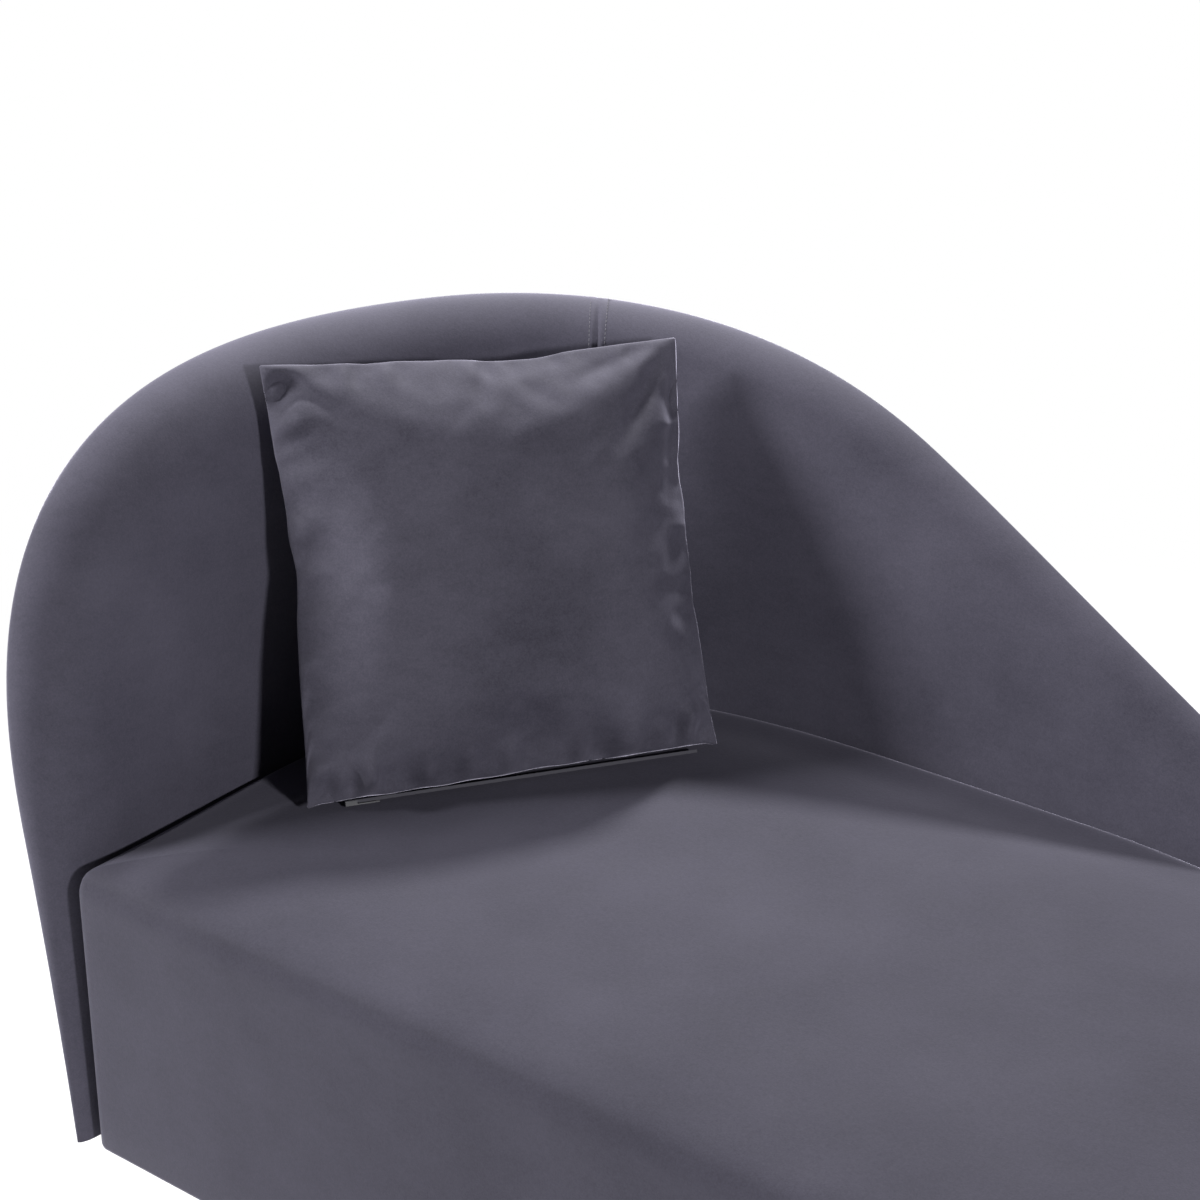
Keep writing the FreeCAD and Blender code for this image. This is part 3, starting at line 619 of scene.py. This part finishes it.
def insideLoop(x, y, loop):
    a, b = loop, np.roll(loop, -1, axis=0)
    cross = (a[:, 1] > y) != (b[:, 1] > y)
    with np.errstate(divide="ignore", invalid="ignore"):
        at = a[:, 0] + (y - a[:, 1]) * (b[:, 0] - a[:, 0]) / (b[:, 1] - a[:, 1])
    return int(np.sum(cross & (x < at))) % 2 == 1


def gridInside(loop):
    # an even spread of points inside a loop, clear of its edge
    step = seat["gridStep"]
    low, high = loop.min(axis=0), loop.max(axis=0)
    inside = []
    for x in np.arange(low[0] + step / 2, high[0], step):
        for y in np.arange(low[1] + step / 2, high[1], step):
            gap = np.hypot(loop[:, 0] - x, loop[:, 1] - y).min()
            if gap > seat["gridClear"] * step and insideLoop(x, y, loop):
                inside.append(Vector((x, y)))
    return inside


def seatCover():
    rings = [seatRing(inset, z) for inset, z in seat["profile"]]
    points = [tuple(p) for ring in rings for p in ring]
    count = len(rings[0])
    faces = []
    for i in range(len(rings) - 1):
        low, high = i * count, (i + 1) * count
        for j in range(count):
            n = (j + 1) % count
            faces.append((low + j, low + n, high + n, high + j))
    # the flat middle, filled with triangles inside the last ring
    loop = rings[-1][:, :2]
    start = (len(rings) - 1) * count
    coords = [Vector(p) for p in loop] + gridInside(loop)
    edges = [(j, (j + 1) % count) for j in range(count)]
    verts, _, tris, origin, _, _ = delaunay_2d_cdt(coords, edges, [list(range(count))], 1, 1e-6)
    number = {}
    for k, v in enumerate(verts):
        source = origin[k][0] if origin[k] else -1
        if 0 <= source < count:
            number[k] = start + source
        else:
            number[k] = len(points)
            points.append((v.x, v.y, seatTop + float(seatHeight(v.x, v.y))))
    faces += [tuple(number[k] for k in tri) for tri in tris]
    mesh = bpy.data.meshes.new("seatCover")
    mesh.from_pydata([tuple(p) for p in toFrame(points)], [], faces)
    turnedOut(mesh, hollow=True)
    return finished("seatCover", mesh)


seatPiece = seatCover()
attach(seatPiece, "chaise")
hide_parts("seat_cover", "seat_topper", "seat_foam")
print("seat cover:", len(seatPiece.data.vertices))

# the throw pillow: two flat squares sewn round their edge, blown up as cloth and set on its place
pillow = {
    "cells": 60,
    "flat": 0.416,
    "startSwell": 0.013,
    "startRough": 0.0012,
    "roughScale": 5,
    "frames": 22,
    "cloth": {
        "quality": 7,
        "mass": 0.25,
        "tension_stiffness": 40,
        "compression_stiffness": 12,
        "shear_stiffness": 8,
        "bending_stiffness": 0.9,
        "tension_damping": 8,
        "compression_damping": 8,
        "air_damping": 2,
        "use_pressure": True,
        "uniform_pressure_force": 4.0,
    },
    "quickPowers": (2.3, 0.62),
    "halfThickness": 60.0,
    "edgeDraw": 0.052,
    "leastDraw": 0.001,
    "middleStretch": 0.2,  # the draw is measured over this share of an edge
    "thickest": 99.5,  # percentile of the swell that counts as the thickness
    "lowerFrom": -0.6,
    "lowerLeft": (113.0, -444.0, 449.0),
    "lowerRight": (331.0, -105.0, 449.0),
    "upperLeft": (-37.0, -328.0, 812.0),
    "upperRight": (196.0, 1.0, 800.0),
    "clearance": 1.2,
    "lift": 0.5,
    "wallSamples": 1400,
    "overRim": 10.0,  # from this far under the rim's peak upward nothing is pressed
    "puckers": (8.0, 22.0, 9.0, 20.0),  # depths at the upper, lower, right and left edges
    "puckerWaves": [(1.0, 6.5, 0.0), (0.6, 15, 4.0)],  # height, number along the edge and seed
    "puckerBand": (0.09, 0.085),
    "edgeWave": 0.016,
    "edgeWaveScale": (4.5, 7.0),
    "foldFull": 7.0,  # swell at which the folds reach their whole depth
    # each furrow runs from one point of the face to another, with its width and depth
    "furrows": [
        ((0.93, 0.93), (0.62, 0.50), 0.045, 12.0),
        ((0.97, 0.88), (0.88, 0.36), 0.035, 8.0),
        ((0.90, 0.97), (0.45, 0.80), 0.03, 4.5),
        ((0.95, -0.95), (0.62, -0.78), 0.03, 6.0),
        ((0.97, -0.86), (0.80, -0.50), 0.03, 5.0),
        ((-0.95, -0.95), (-0.62, -0.62), 0.03, 6.0),
        ((-0.97, -0.84), (-0.74, -0.66), 0.025, 4.0),
        ((-0.95, 0.95), (-0.68, 0.72), 0.03, 5.0),
        ((-0.98, 0.62), (-0.70, 0.52), 0.03, 3.5),
        ((-0.98, 0.36), (-0.76, 0.30), 0.028, 3.0),
        ((-0.98, -0.42), (-0.72, -0.36), 0.03, 3.2),
    ],
    "furrowFades": (0.15, 1.2, 0.5),  # start's run, where it ends and the end's run
}


def sewnSquares():
    # a grid of quads on each side, with the edge's points shared
    n = pillow["cells"]
    half = pillow["flat"] / 2
    scale = pillow["roughScale"]
    body = bmesh.new()
    front, back = {}, {}
    for i in range(n + 1):
        for j in range(n + 1):
            u, v = -1 + 2 * i / n, -1 + 2 * j / n
            swell = pillow["startSwell"] * (1 - u ** 4) * (1 - v ** 4)
            rough = [pillow["startRough"] * noise.noise(Vector((u * scale, v * scale, seed)))
                     for seed in (2.0, 8.0)]
            edge = i in (0, n) or j in (0, n)
            z = 0.0 if edge else swell + rough[0]
            front[i, j] = body.verts.new((u * half, v * half, z))
            back[i, j] = front[i, j]
            if not edge:
                back[i, j] = body.verts.new((u * half, v * half, -swell + rough[1]))
    for i in range(n):
        for j in range(n):
            k, m = i + 1, j + 1
            body.faces.new((front[i, j], front[k, j], front[k, m], front[i, m]))
            body.faces.new((back[i, j], back[i, m], back[k, m], back[k, j]))
    return fromBody("pillowCase", body)


def blowUp(piece):
    # the case's points once the cloth has swollen
    scene = bpy.context.scene
    cloth = piece.modifiers.new("cloth", "CLOTH")
    for key, value in pillow["cloth"].items():
        setattr(cloth.settings, key, value)
    cloth.settings.effector_weights.gravity = 0
    cloth.point_cache.frame_start = 1
    cloth.point_cache.frame_end = pillow["frames"]
    for f in range(1, pillow["frames"] + 1):
        scene.frame_set(f)
    graph = bpy.context.evaluated_depsgraph_get()
    grown = piece.evaluated_get(graph)
    coords = np.array([tuple(v.co) for v in grown.to_mesh().vertices])
    grown.to_mesh_clear()
    piece.modifiers.clear()
    scene.frame_set(1)
    return coords


def furrow(u, v, a, b, width, depth):
    # a soft valley along the line from a to b, fading out at both ends
    a, b = np.array(a), np.array(b)
    run = b - a
    startRun, end, endRun = pillow["furrowFades"]
    along = ((u - a[0]) * run[0] + (v - a[1]) * run[1]) / (run ** 2).sum()
    off = ((u - a[0]) * run[1] - (v - a[1]) * run[0]) / math.hypot(*run)
    fade = np.clip(along / startRun, 0, 1) * np.clip((end - along) / endRun, 0, 1)
    return -depth * hill(off, width) * fade


def pillowFolds(u, v):
    # millimetres added to the swell where the case is gathered at its corners and along its edges
    folds = sum(furrow(u, v, *line) for line in pillow["furrows"])
    edges = ((u, 1 - v, 1.0), (u, 1 + v, 2.0), (v, 1 - u, 3.0), (v, 1 + u, 4.0))
    middle, width = pillow["puckerBand"]
    for (along, inside, seed), depth in zip(edges, pillow["puckers"]):
        wave = [
            sum(h * noise.noise(Vector((a * m, n, seed))) for h, m, n in pillow["puckerWaves"])
            for a in along
        ]
        folds = folds + depth * np.array(wave) * hill(inside - middle, width)
    return folds


def edgeWaves(u, v):
    # the sewn edges run in slight waves between the corners
    scale, row = pillow["edgeWaveScale"]

    def moved(across, along, seed):
        wave = np.array([noise.noise(Vector((a * scale, row, seed))) for a in along])
        edge = np.sign(across) * np.abs(across) ** 6 * (1 - along ** 4)
        return across + pillow["edgeWave"] * wave * edge

    return moved(u, v, 11.0), moved(v, u, 17.0)


def straightLower(u, v, edge):
    # the lower edge is drawn straight along its zip
    lower = edge[v[edge] < pillow["lowerFrom"]]
    lower = lower[np.argsort(u[lower])]
    return v + (-1 - np.interp(u, u[lower], v[lower])) * np.clip((1 - v) / 2, 0, 1) ** 2


def pressedByWall(points):
    # points that would reach into the wall's padding are pushed back out of it
    s = np.linspace(0, wallEnd, pillow["wallSamples"])
    line = place(s, 0.0, 0.0)[:, :2]
    outward = place(s, 1.0, 0.0)[:, :2] - line
    gaps = np.hypot(*(points[:, None, k] - line[None, :, k] for k in (0, 1)))
    nearest = gaps.argmin(axis=1)
    square = outward[nearest]
    out = ((points[:, :2] - line[nearest]) * square).sum(axis=1)
    z = points[:, 2]
    depth = rimDepth(s[nearest], np.minimum(z, wall["rimPeak"] - 1))
    excess = np.maximum(0, out - wallOffset(z, depth, True) + pillow["clearance"])
    excess = np.where(z > wall["rimPeak"] - pillow["overRim"], 0, excess)
    points[:, :2] -= square * excess[:, None]
    print("pillow pressed in by the wall:", round(float(excess.max()), 1), "mm at most")
    return points


def pillowCase():
    piece = sewnSquares()
    start = np.array([tuple(v.co) for v in piece.data.vertices])
    flatU, flatV = (start[:, :2] / (pillow["flat"] / 2)).T
    sides = np.abs([flatU, flatV])
    almost = 1 - 1e-5
    edge = np.flatnonzero(sides.max(axis=0) > almost)
    corners = np.flatnonzero(sides.min(axis=0) > almost)
    coords = blowUp(piece)
    coords = coords - coords[corners].mean(axis=0)
    half = np.abs(coords[corners][:, :2]).mean()
    u, v = coords[:, 0] / half, coords[:, 1] / half
    thick = np.percentile(np.abs(coords[:, 2]), pillow["thickest"])
    drawn = 1 - np.abs(v[edge][np.abs(flatU[edge]) < pillow["middleStretch"]]).mean()
    blown = {"wide": half * 2, "thick": thick * 2, "drawn in": drawn}
    print("pillow as blown:", {key: round(float(value), 4) for key, value in blown.items()})
    # the filling holds the edges out, so only a part of the draw is kept
    keep = min(1.0, pillow["edgeDraw"] / max(drawn, pillow["leastDraw"]))
    u, v = flatU + keep * (u - flatU), flatV + keep * (v - flatV)
    n = coords[:, 2] / thick * pillow["halfThickness"]
    n = n + pillowFolds(u, v) * np.sign(n) * np.minimum(1, np.abs(n) / pillow["foldFull"])
    v = straightLower(u, v, edge)
    u, v = edgeWaves(u, v)
    a, b = np.array(pillow["lowerLeft"]), np.array(pillow["lowerRight"])
    c, d = np.array(pillow["upperLeft"]), np.array(pillow["upperRight"])
    p, q = ((u + 1) / 2)[:, None], ((v + 1) / 2)[:, None]
    face = np.cross(b - a, c - a)
    face /= np.linalg.norm(face)
    points = (1 - q) * ((1 - p) * a + p * b) + q * ((1 - p) * c + p * d) + face * n[:, None]
    points[:, 2] = np.maximum(points[:, 2], seatTop + pillow["clearance"] + pillow["lift"])
    piece.data.vertices.foreach_set("co", toFrame(pressedByWall(points)).ravel())
    piece.data.update()
    turnedOut(piece.data)
    return piece


def applied(piece):
    # bakes the modifiers into the mesh
    graph = bpy.context.evaluated_depsgraph_get()
    old = piece.data
    mesh = bpy.data.meshes.new_from_object(piece.evaluated_get(graph))
    piece.modifiers.clear()
    piece.data = mesh
    bpy.data.meshes.remove(old)
    return piece


pillowPiece = applied(subdivided(pillowCase()))
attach(pillowPiece, "pillow")
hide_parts("pillow_front", "pillow_back")
print("pillow:", len(pillowPiece.data.vertices))

# turned legs: radius and height over the floor, then radius and depth under the top
legs = {
    "sides": 48,
    "foot": [(0.0100, 0.0001), (0.0109, 0.0010), (0.0110, 0.0030), (0.0143, 0.055)],
    "top": [
        (0.0179, 0.014), (0.0188, 0.0065), (0.0196, 0.0058), (0.0196, 0.0014), (0.0186, 0.0003),
    ],
    "apart": 0.03,
}
# the screws under their plates; the profile is share of the radius and depth under the plate
screws = {
    "sides": 20,
    "radius": 0.0046,
    "spread": 0.025,
    "profile": [(0.35, 0.0013), (0.42, 0.0021), (0.75, 0.0019), (1.0, 0.0011), (1.0, 0.0002)],
}


def legCentres():
    # one centre for each glide, read from the frame
    points = np.array([tuple(v.co) for v in nodes["floor_glides"].data.vertices])[:, :2]
    centres = []
    while len(points):
        near = np.hypot(*(points - points[0]).T) < legs["apart"]
        centres.append((points[near].min(axis=0) + points[near].max(axis=0)) / 2)
        points = points[~near]
    return centres


def turned(body, x, y, profile, sides):
    turns = [2 * math.pi * k / sides for k in range(sides)]
    skinned(body, [
        [body.verts.new((x + radius * math.cos(t), y + radius * math.sin(t), z)) for t in turns]
        for radius, z in profile
    ])


def turnedLegs():
    body = bmesh.new()
    low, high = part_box("tapered_legs")
    profile = [(radius, low.z + up) for radius, up in legs["foot"]]
    profile += [(radius, high.z - down) for radius, down in legs["top"]]
    for x, y in legCentres():
        turned(body, x, y, profile, legs["sides"])
    return fromBody("turnedLegs", body)


def plateScrews():
    body = bmesh.new()
    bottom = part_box("leg_plates")[0].z
    spread = screws["spread"]
    profile = [(share * screws["radius"], bottom - down) for share, down in screws["profile"]]
    for x, y in legCentres():
        for a in (-spread, spread):
            for b in (-spread, spread):
                turned(body, x + a, y + b, profile, screws["sides"])
    return fromBody("plateScrews", body)


legPiece = turnedLegs()
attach(legPiece, "chaise")
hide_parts("tapered_legs")
screwPiece = plateScrews()
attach(screwPiece, "chaise")
print("legs and screws made")


# the node trees of the materials and the world
class Wire:
    # a value between nodes; sums on it add Math nodes
    def __init__(self, bench, socket):
        self.bench = bench
        self.socket = socket

    def maths(self, operation, first, second):
        return self.bench.add("ShaderNodeMath", {"operation": operation}, {0: first, 1: second})

    def __add__(self, other):
        return self.maths("ADD", self, other)

    def __radd__(self, other):
        return self.maths("ADD", other, self)

    def __sub__(self, other):
        return self.maths("SUBTRACT", self, other)

    def __rsub__(self, other):
        return self.maths("SUBTRACT", other, self)

    def __mul__(self, other):
        return self.maths("MULTIPLY", self, other)

    def __rmul__(self, other):
        return self.maths("MULTIPLY", other, self)

    def __truediv__(self, other):
        return self.maths("DIVIDE", self, other)

    def __rtruediv__(self, other):
        return self.maths("DIVIDE", other, self)

    def clamped(self):
        return self.bench.add("ShaderNodeClamp", {}, {0: self, 1: 0.0, 2: 1.0})


class Bench:
    # the nodes of one material, or of the world
    def __init__(self, owner):
        owner.use_nodes = True
        self.owner = owner
        self.tree = owner.node_tree
        self.tree.nodes.clear()

    def add(self, kind, settings, sockets, output=0):
        node = self.tree.nodes.new(kind)
        for key, value in settings.items():
            setattr(node, key, value)
        for key, value in sockets.items():
            if isinstance(value, Wire):
                self.tree.links.new(value.socket, node.inputs[key])
            else:
                node.inputs[key].default_value = value
        return Wire(self, node.outputs[output]) if node.outputs else None

    def coords(self):
        return self.add("ShaderNodeTexCoord", {}, {}, "Object")

    def noise(self, vector, scale, detail, rough):
        sockets = {"Vector": vector, "Scale": scale, "Detail": detail, "Roughness": rough}
        return self.add("ShaderNodeTexNoise", {}, sockets)

    def stretched(self, vector, scale):
        return self.add("ShaderNodeVectorMath", {"operation": "MULTIPLY"}, {0: vector, 1: scale})

    def mixed(self, share, first, second):
        # 6 and 7 are the Mix node's colours and 2 is the colour that comes out
        sockets = {0: share, 6: (*first, 1), 7: (*second, 1)}
        return self.add("ShaderNodeMix", {"data_type": "RGBA"}, sockets, 2)

    def bump(self, height, strength, distance):
        sockets = {"Height": height, "Strength": strength, "Distance": distance}
        return self.add("ShaderNodeBump", {}, sockets)

    def finish(self, sockets):
        shader = self.add("ShaderNodeBsdfPrincipled", {}, sockets)
        self.add("ShaderNodeOutputMaterial", {}, {"Surface": shader})
        return self.owner


def newBench(name):
    return Bench(bpy.data.materials.new(name))


# noises are scale, detail and roughness; reliefs are the bump's strength and depth in metres
velvets = {
    "wall": {
        "dark": (0.035, 0.033, 0.050), "light": (0.102, 0.096, 0.131), "sheen": 1.0, "mottle": 0.8,
    },
    # the seat's colours are the wall's velvet made darker: painted shade over the seat's top
    "seat": {
        "dark": (0.026, 0.0245, 0.037), "light": (0.071, 0.067, 0.093), "sheen": 0.3, "mottle": 0.7,
    },
    "pillow": {
        "dark": (0.030, 0.028, 0.043), "light": (0.110, 0.104, 0.139), "sheen": 0.65, "mottle": 1.1,
    },
}
nap = {
    "brushed": (7.0, 3.0, 0.55),
    "strokes": (34.0, 4.0, 0.6),
    "strokeShape": (1.0, 1.0, 2.2),
    "pile": (620.0, 2.0, 0.6),
    "tufts": (240.0, 3.0, 0.65),
    "roughness": 0.78,
    "specular": 0.25,
    "sheenRoughness": 0.38,
    "sheenTint": (0.80, 0.77, 0.96, 1),
    "relief": (0.35, 0.0006),
}


def velvet(name, look):
    bench = newBench(name)
    at = bench.coords()
    brushed = bench.noise(at, *nap["brushed"])
    strokes = bench.noise(bench.stretched(at, nap["strokeShape"]), *nap["strokes"])
    pile = bench.noise(at, *nap["pile"])
    tufts = bench.noise(at, *nap["tufts"])
    share = 0.5 + (brushed - 0.5) * look["mottle"] + (strokes - 0.5) * 0.4 * look["mottle"]
    share = share + (pile - 0.5) * 0.55 + (tufts - 0.5) * 0.35
    relief = pile * 0.6 + tufts * 0.5 + strokes * 0.3
    return bench.finish({
        "Base Color": bench.mixed(share.clamped(), look["dark"], look["light"]),
        "Roughness": nap["roughness"] + (strokes - 0.5) * 0.12,
        "Specular IOR Level": nap["specular"],
        "Sheen Weight": look["sheen"],
        "Sheen Roughness": nap["sheenRoughness"],
        "Sheen Tint": nap["sheenTint"],
        "Normal": bench.bump(relief, *nap["relief"]),
    })


grain = {
    "lines": (5.0, 0.6),  # detail and roughness
    "lineShape": (2.0, 2.0, 26.0),
    "pores": (2.0, 0.5),
    "poreShape": (6.0, 6.0, 90.0),
    "finer": 3,  # the pores' scale over the lines'
    "roughness": 0.62,
    "relief": (0.25, 0.0006),
}


def woodGrain(name, dark, light, scale):
    bench = newBench(name)
    at = bench.coords()
    long, fine = bench.stretched(at, grain["lineShape"]), bench.stretched(at, grain["poreShape"])
    lines = bench.noise(long, scale, *grain["lines"])
    pores = bench.noise(fine, scale * grain["finer"], *grain["pores"])
    share = (lines * 0.8 + pores * 0.35).clamped()
    return bench.finish({
        "Base Color": bench.mixed(share, dark, light),
        "Roughness": grain["roughness"] + (pores - 0.5) * 0.2,
        "Normal": bench.bump(lines + pores, *grain["relief"]),
    })


brushing = {
    "lines": (300.0, 3.0, 0.6),
    "marks": (40.0, 3.0, 0.6),
    "shade": 0.82,
    "relief": (0.12, 0.0002),
}


def metal(name, colour, rough, stretch):
    bench = newBench(name)
    at = bench.coords()
    lines = bench.noise(bench.stretched(at, (1.0, 1.0, stretch)), *brushing["lines"])
    marks = bench.noise(at, *brushing["marks"])
    dark = tuple(c * brushing["shade"] for c in colour)
    return bench.finish({
        "Base Color": bench.mixed((marks * 0.5 + lines * 0.4).clamped(), dark, colour),
        "Metallic": 1.0,
        "Roughness": rough + (lines - 0.5) * 0.16 + (marks - 0.5) * 0.1,
        "Normal": bench.bump(lines, *brushing["relief"]),
    })


weaving = {"distortion": 0.6, "fuzz": (300.0, 3.0, 0.6), "roughness": 0.85, "relief": (0.3, 0.0005)}


def cloth(name, dark, light, threads):
    bench = newBench(name)
    at = bench.coords()
    sockets = {"Vector": at, "Scale": threads, "Distortion": weaving["distortion"]}
    warp = bench.add("ShaderNodeTexWave", {"bands_direction": "X"}, sockets)
    weft = bench.add("ShaderNodeTexWave", {"bands_direction": "Y"}, sockets)
    fuzz = bench.noise(at, *weaving["fuzz"])
    weave = (warp * 0.5 + weft * 0.5) * 0.7 + fuzz * 0.4
    return bench.finish({
        "Base Color": bench.mixed(weave.clamped(), dark, light),
        "Roughness": weaving["roughness"] + (fuzz - 0.5) * 0.1,
        "Normal": bench.bump(weave, *weaving["relief"]),
    })


moulding = {"grain": (450.0, 3.0, 0.6), "wear": (30.0, 3.0, 0.6), "relief": (0.15, 0.0003)}


def plastic(name, dark, light, rough):
    bench = newBench(name)
    at = bench.coords()
    fine = bench.noise(at, *moulding["grain"])
    wear = bench.noise(at, *moulding["wear"])
    return bench.finish({
        "Base Color": bench.mixed((fine * 0.5 + wear * 0.5).clamped(), dark, light),
        "Roughness": rough + (wear - 0.5) * 0.2,
        "Normal": bench.bump(fine, *moulding["relief"]),
    })


def dress(piece, material):
    piece.data.materials.clear()
    piece.data.materials.append(material)


wallVelvet, seatVelvetPaintedShade, pillowVelvet = [velvet(part + "Velvet", velvets[part]) for part in velvets]
sewingThread = cloth("sewingThread", (0.10, 0.098, 0.118), (0.2, 0.195, 0.225), 900.0)
bentPly = woodGrain("bentPly", (0.42, 0.29, 0.17), (0.62, 0.47, 0.31), 18.0)
plainTimber = woodGrain("plainTimber", (0.30, 0.18, 0.09), (0.5, 0.34, 0.2), 12.0)
legBrass = metal("legBrass", (0.60, 0.42, 0.20), 0.3, 0.05)
fixingSteel = metal("fixingSteel", (0.55, 0.55, 0.56), 0.38, 1.0)
springSteel = metal("springSteel", (0.22, 0.22, 0.24), 0.42, 1.0)
slingCloth = cloth("slingCloth", (0.012, 0.011, 0.011), (0.04, 0.038, 0.038), 420.0)
bottomCloth = cloth("bottomCloth", (0.006, 0.006, 0.007), (0.022, 0.022, 0.025), 260.0)
glidePlastic = plastic("glidePlastic", (0.010, 0.010, 0.010), (0.022, 0.022, 0.022), 0.5)
zipTape = cloth("zipTape", (0.045, 0.043, 0.056), (0.085, 0.082, 0.1), 700.0)
zipMetal = plastic("zipMetal", (0.022, 0.021, 0.028), (0.045, 0.043, 0.055), 0.55)

for piece in wallCovers:
    dress(piece, wallVelvet)
dress(seatPiece, seatVelvetPaintedShade)
dress(pillowPiece, pillowVelvet)
dress(threadRows, sewingThread)
dress(legPiece, legBrass)
dress(screwPiece, fixingSteel)
finishes = [
    (bentPly, "wall_panel", "head_bent_rail", "foot_corner_bends"),
    (plainTimber, "front_rail", "rear_rail", "foot_rail", "cross_rails"),
    (plainTimber, "leg_blocks", "fixing_battens"),
    (fixingSteel, "wall_bolts", "spring_clips", "leg_plates", "leg_studs"),
    (springSteel, "seat_springs"),
    (slingCloth, "deck_cloth"),
    (bottomCloth, "dust_cover"),
    (glidePlastic, "floor_glides"),
    (zipTape, "zip_chain"),
    (zipMetal, "zip_slider"),
]
for material, *names in finishes:
    for name in names:
        dress(nodes[name], material)
print("materials made")

# floor, light and camera
studio = {
    "floorSize": 60.0,
    "floorColour": (0.86, 0.86, 0.86, 1),
    "clearFrom": 0.95,  # beyond this the floor fades to plain white
    "clearTo": 1.9,
    "worldColour": (0.96, 0.97, 1.0, 1),
    "worldStrength": 0.055,
    "camera": (0.92322, -1.70679, 1.62014),
    "azimuth": 38.275,
    "pitch": 24.096,
    "lens": 81.0,
    "sensor": 36.0,
    # each lamp's place, what it points at, its width and its power
    "lamps": {
        "keyRight": ((3.5, -1.6, 2.1), (-0.3, 0.0, 0.5), 0.4, 128.0),
        "rearLeft": ((-1.5, 2.05, 3.25), (-0.1, -0.1, 0.45), 0.35, 142.0),
        "sideLeft": ((-2.7, -1.7, 2.3), (0.0, 0.0, 0.6), 0.8, 122.0),
    },
}
plainWhite = {"Color": (1, 1, 1, 1), "Strength": 1.0}


def seenByCamera(bench):
    return bench.add("ShaderNodeLightPath", {}, {}, "Is Camera Ray")


def makeFloor():
    half = studio["floorSize"] / 2
    corners = [(-half, -half, 0), (half, -half, 0), (half, half, 0), (-half, half, 0)]
    mesh = bpy.data.meshes.new("studioFloor")
    mesh.from_pydata(corners, [], [(0, 1, 2, 3)])
    floor = finished("studioFloor", mesh, False)
    bench = newBench("studioFloor")
    at = bench.coords()
    radius = bench.add("ShaderNodeVectorMath", {"operation": "LENGTH"}, {0: at}, "Value")
    far = ((radius - studio["clearFrom"]) / (studio["clearTo"] - studio["clearFrom"])).clamped()
    soft = bench.add("ShaderNodeBsdfDiffuse", {}, {"Color": studio["floorColour"]})
    plain = bench.add("ShaderNodeEmission", {}, plainWhite)
    sockets = {0: far * seenByCamera(bench), 1: soft, 2: plain}
    both = bench.add("ShaderNodeMixShader", {}, sockets)
    bench.add("ShaderNodeOutputMaterial", {}, {"Surface": both})
    dress(floor, bench.owner)


def makeWorld():
    world = bpy.data.worlds.new("studioWorld")
    bpy.context.scene.world = world
    bench = Bench(world)
    dim = {"Color": studio["worldColour"], "Strength": studio["worldStrength"]}
    soft = bench.add("ShaderNodeBackground", {}, dim)
    plain = bench.add("ShaderNodeBackground", {}, plainWhite)
    both = bench.add("ShaderNodeMixShader", {}, {0: seenByCamera(bench), 1: soft, 2: plain})
    bench.add("ShaderNodeOutputWorld", {}, {"Surface": both})


def placed(name, data, at):
    holder = bpy.data.objects.new(name, data)
    holder.location = at
    bpy.context.scene.collection.objects.link(holder)
    return holder


def makeLamps():
    for name, (at, target, size, power) in studio["lamps"].items():
        light = bpy.data.lights.new(name, "AREA")
        light.shape = "DISK"
        light.size = size
        light.energy = power
        aim = Vector(target) - Vector(at)
        placed(name, light, at).rotation_euler = aim.to_track_quat("-Z", "Y").to_euler()


def makeCamera():
    view = bpy.data.cameras.new("photoView")
    view.lens = studio["lens"]
    view.sensor_width = studio["sensor"]
    view.dof.use_dof = False
    holder = placed("photoView", view, studio["camera"])
    holder.rotation_euler = (math.radians(90 - studio["pitch"]), 0, math.radians(studio["azimuth"]))
    bpy.context.scene.camera = holder


makeFloor()
makeWorld()
makeLamps()
makeCamera()
bpy.context.scene.view_settings.view_transform = "Standard"
print("studio made")
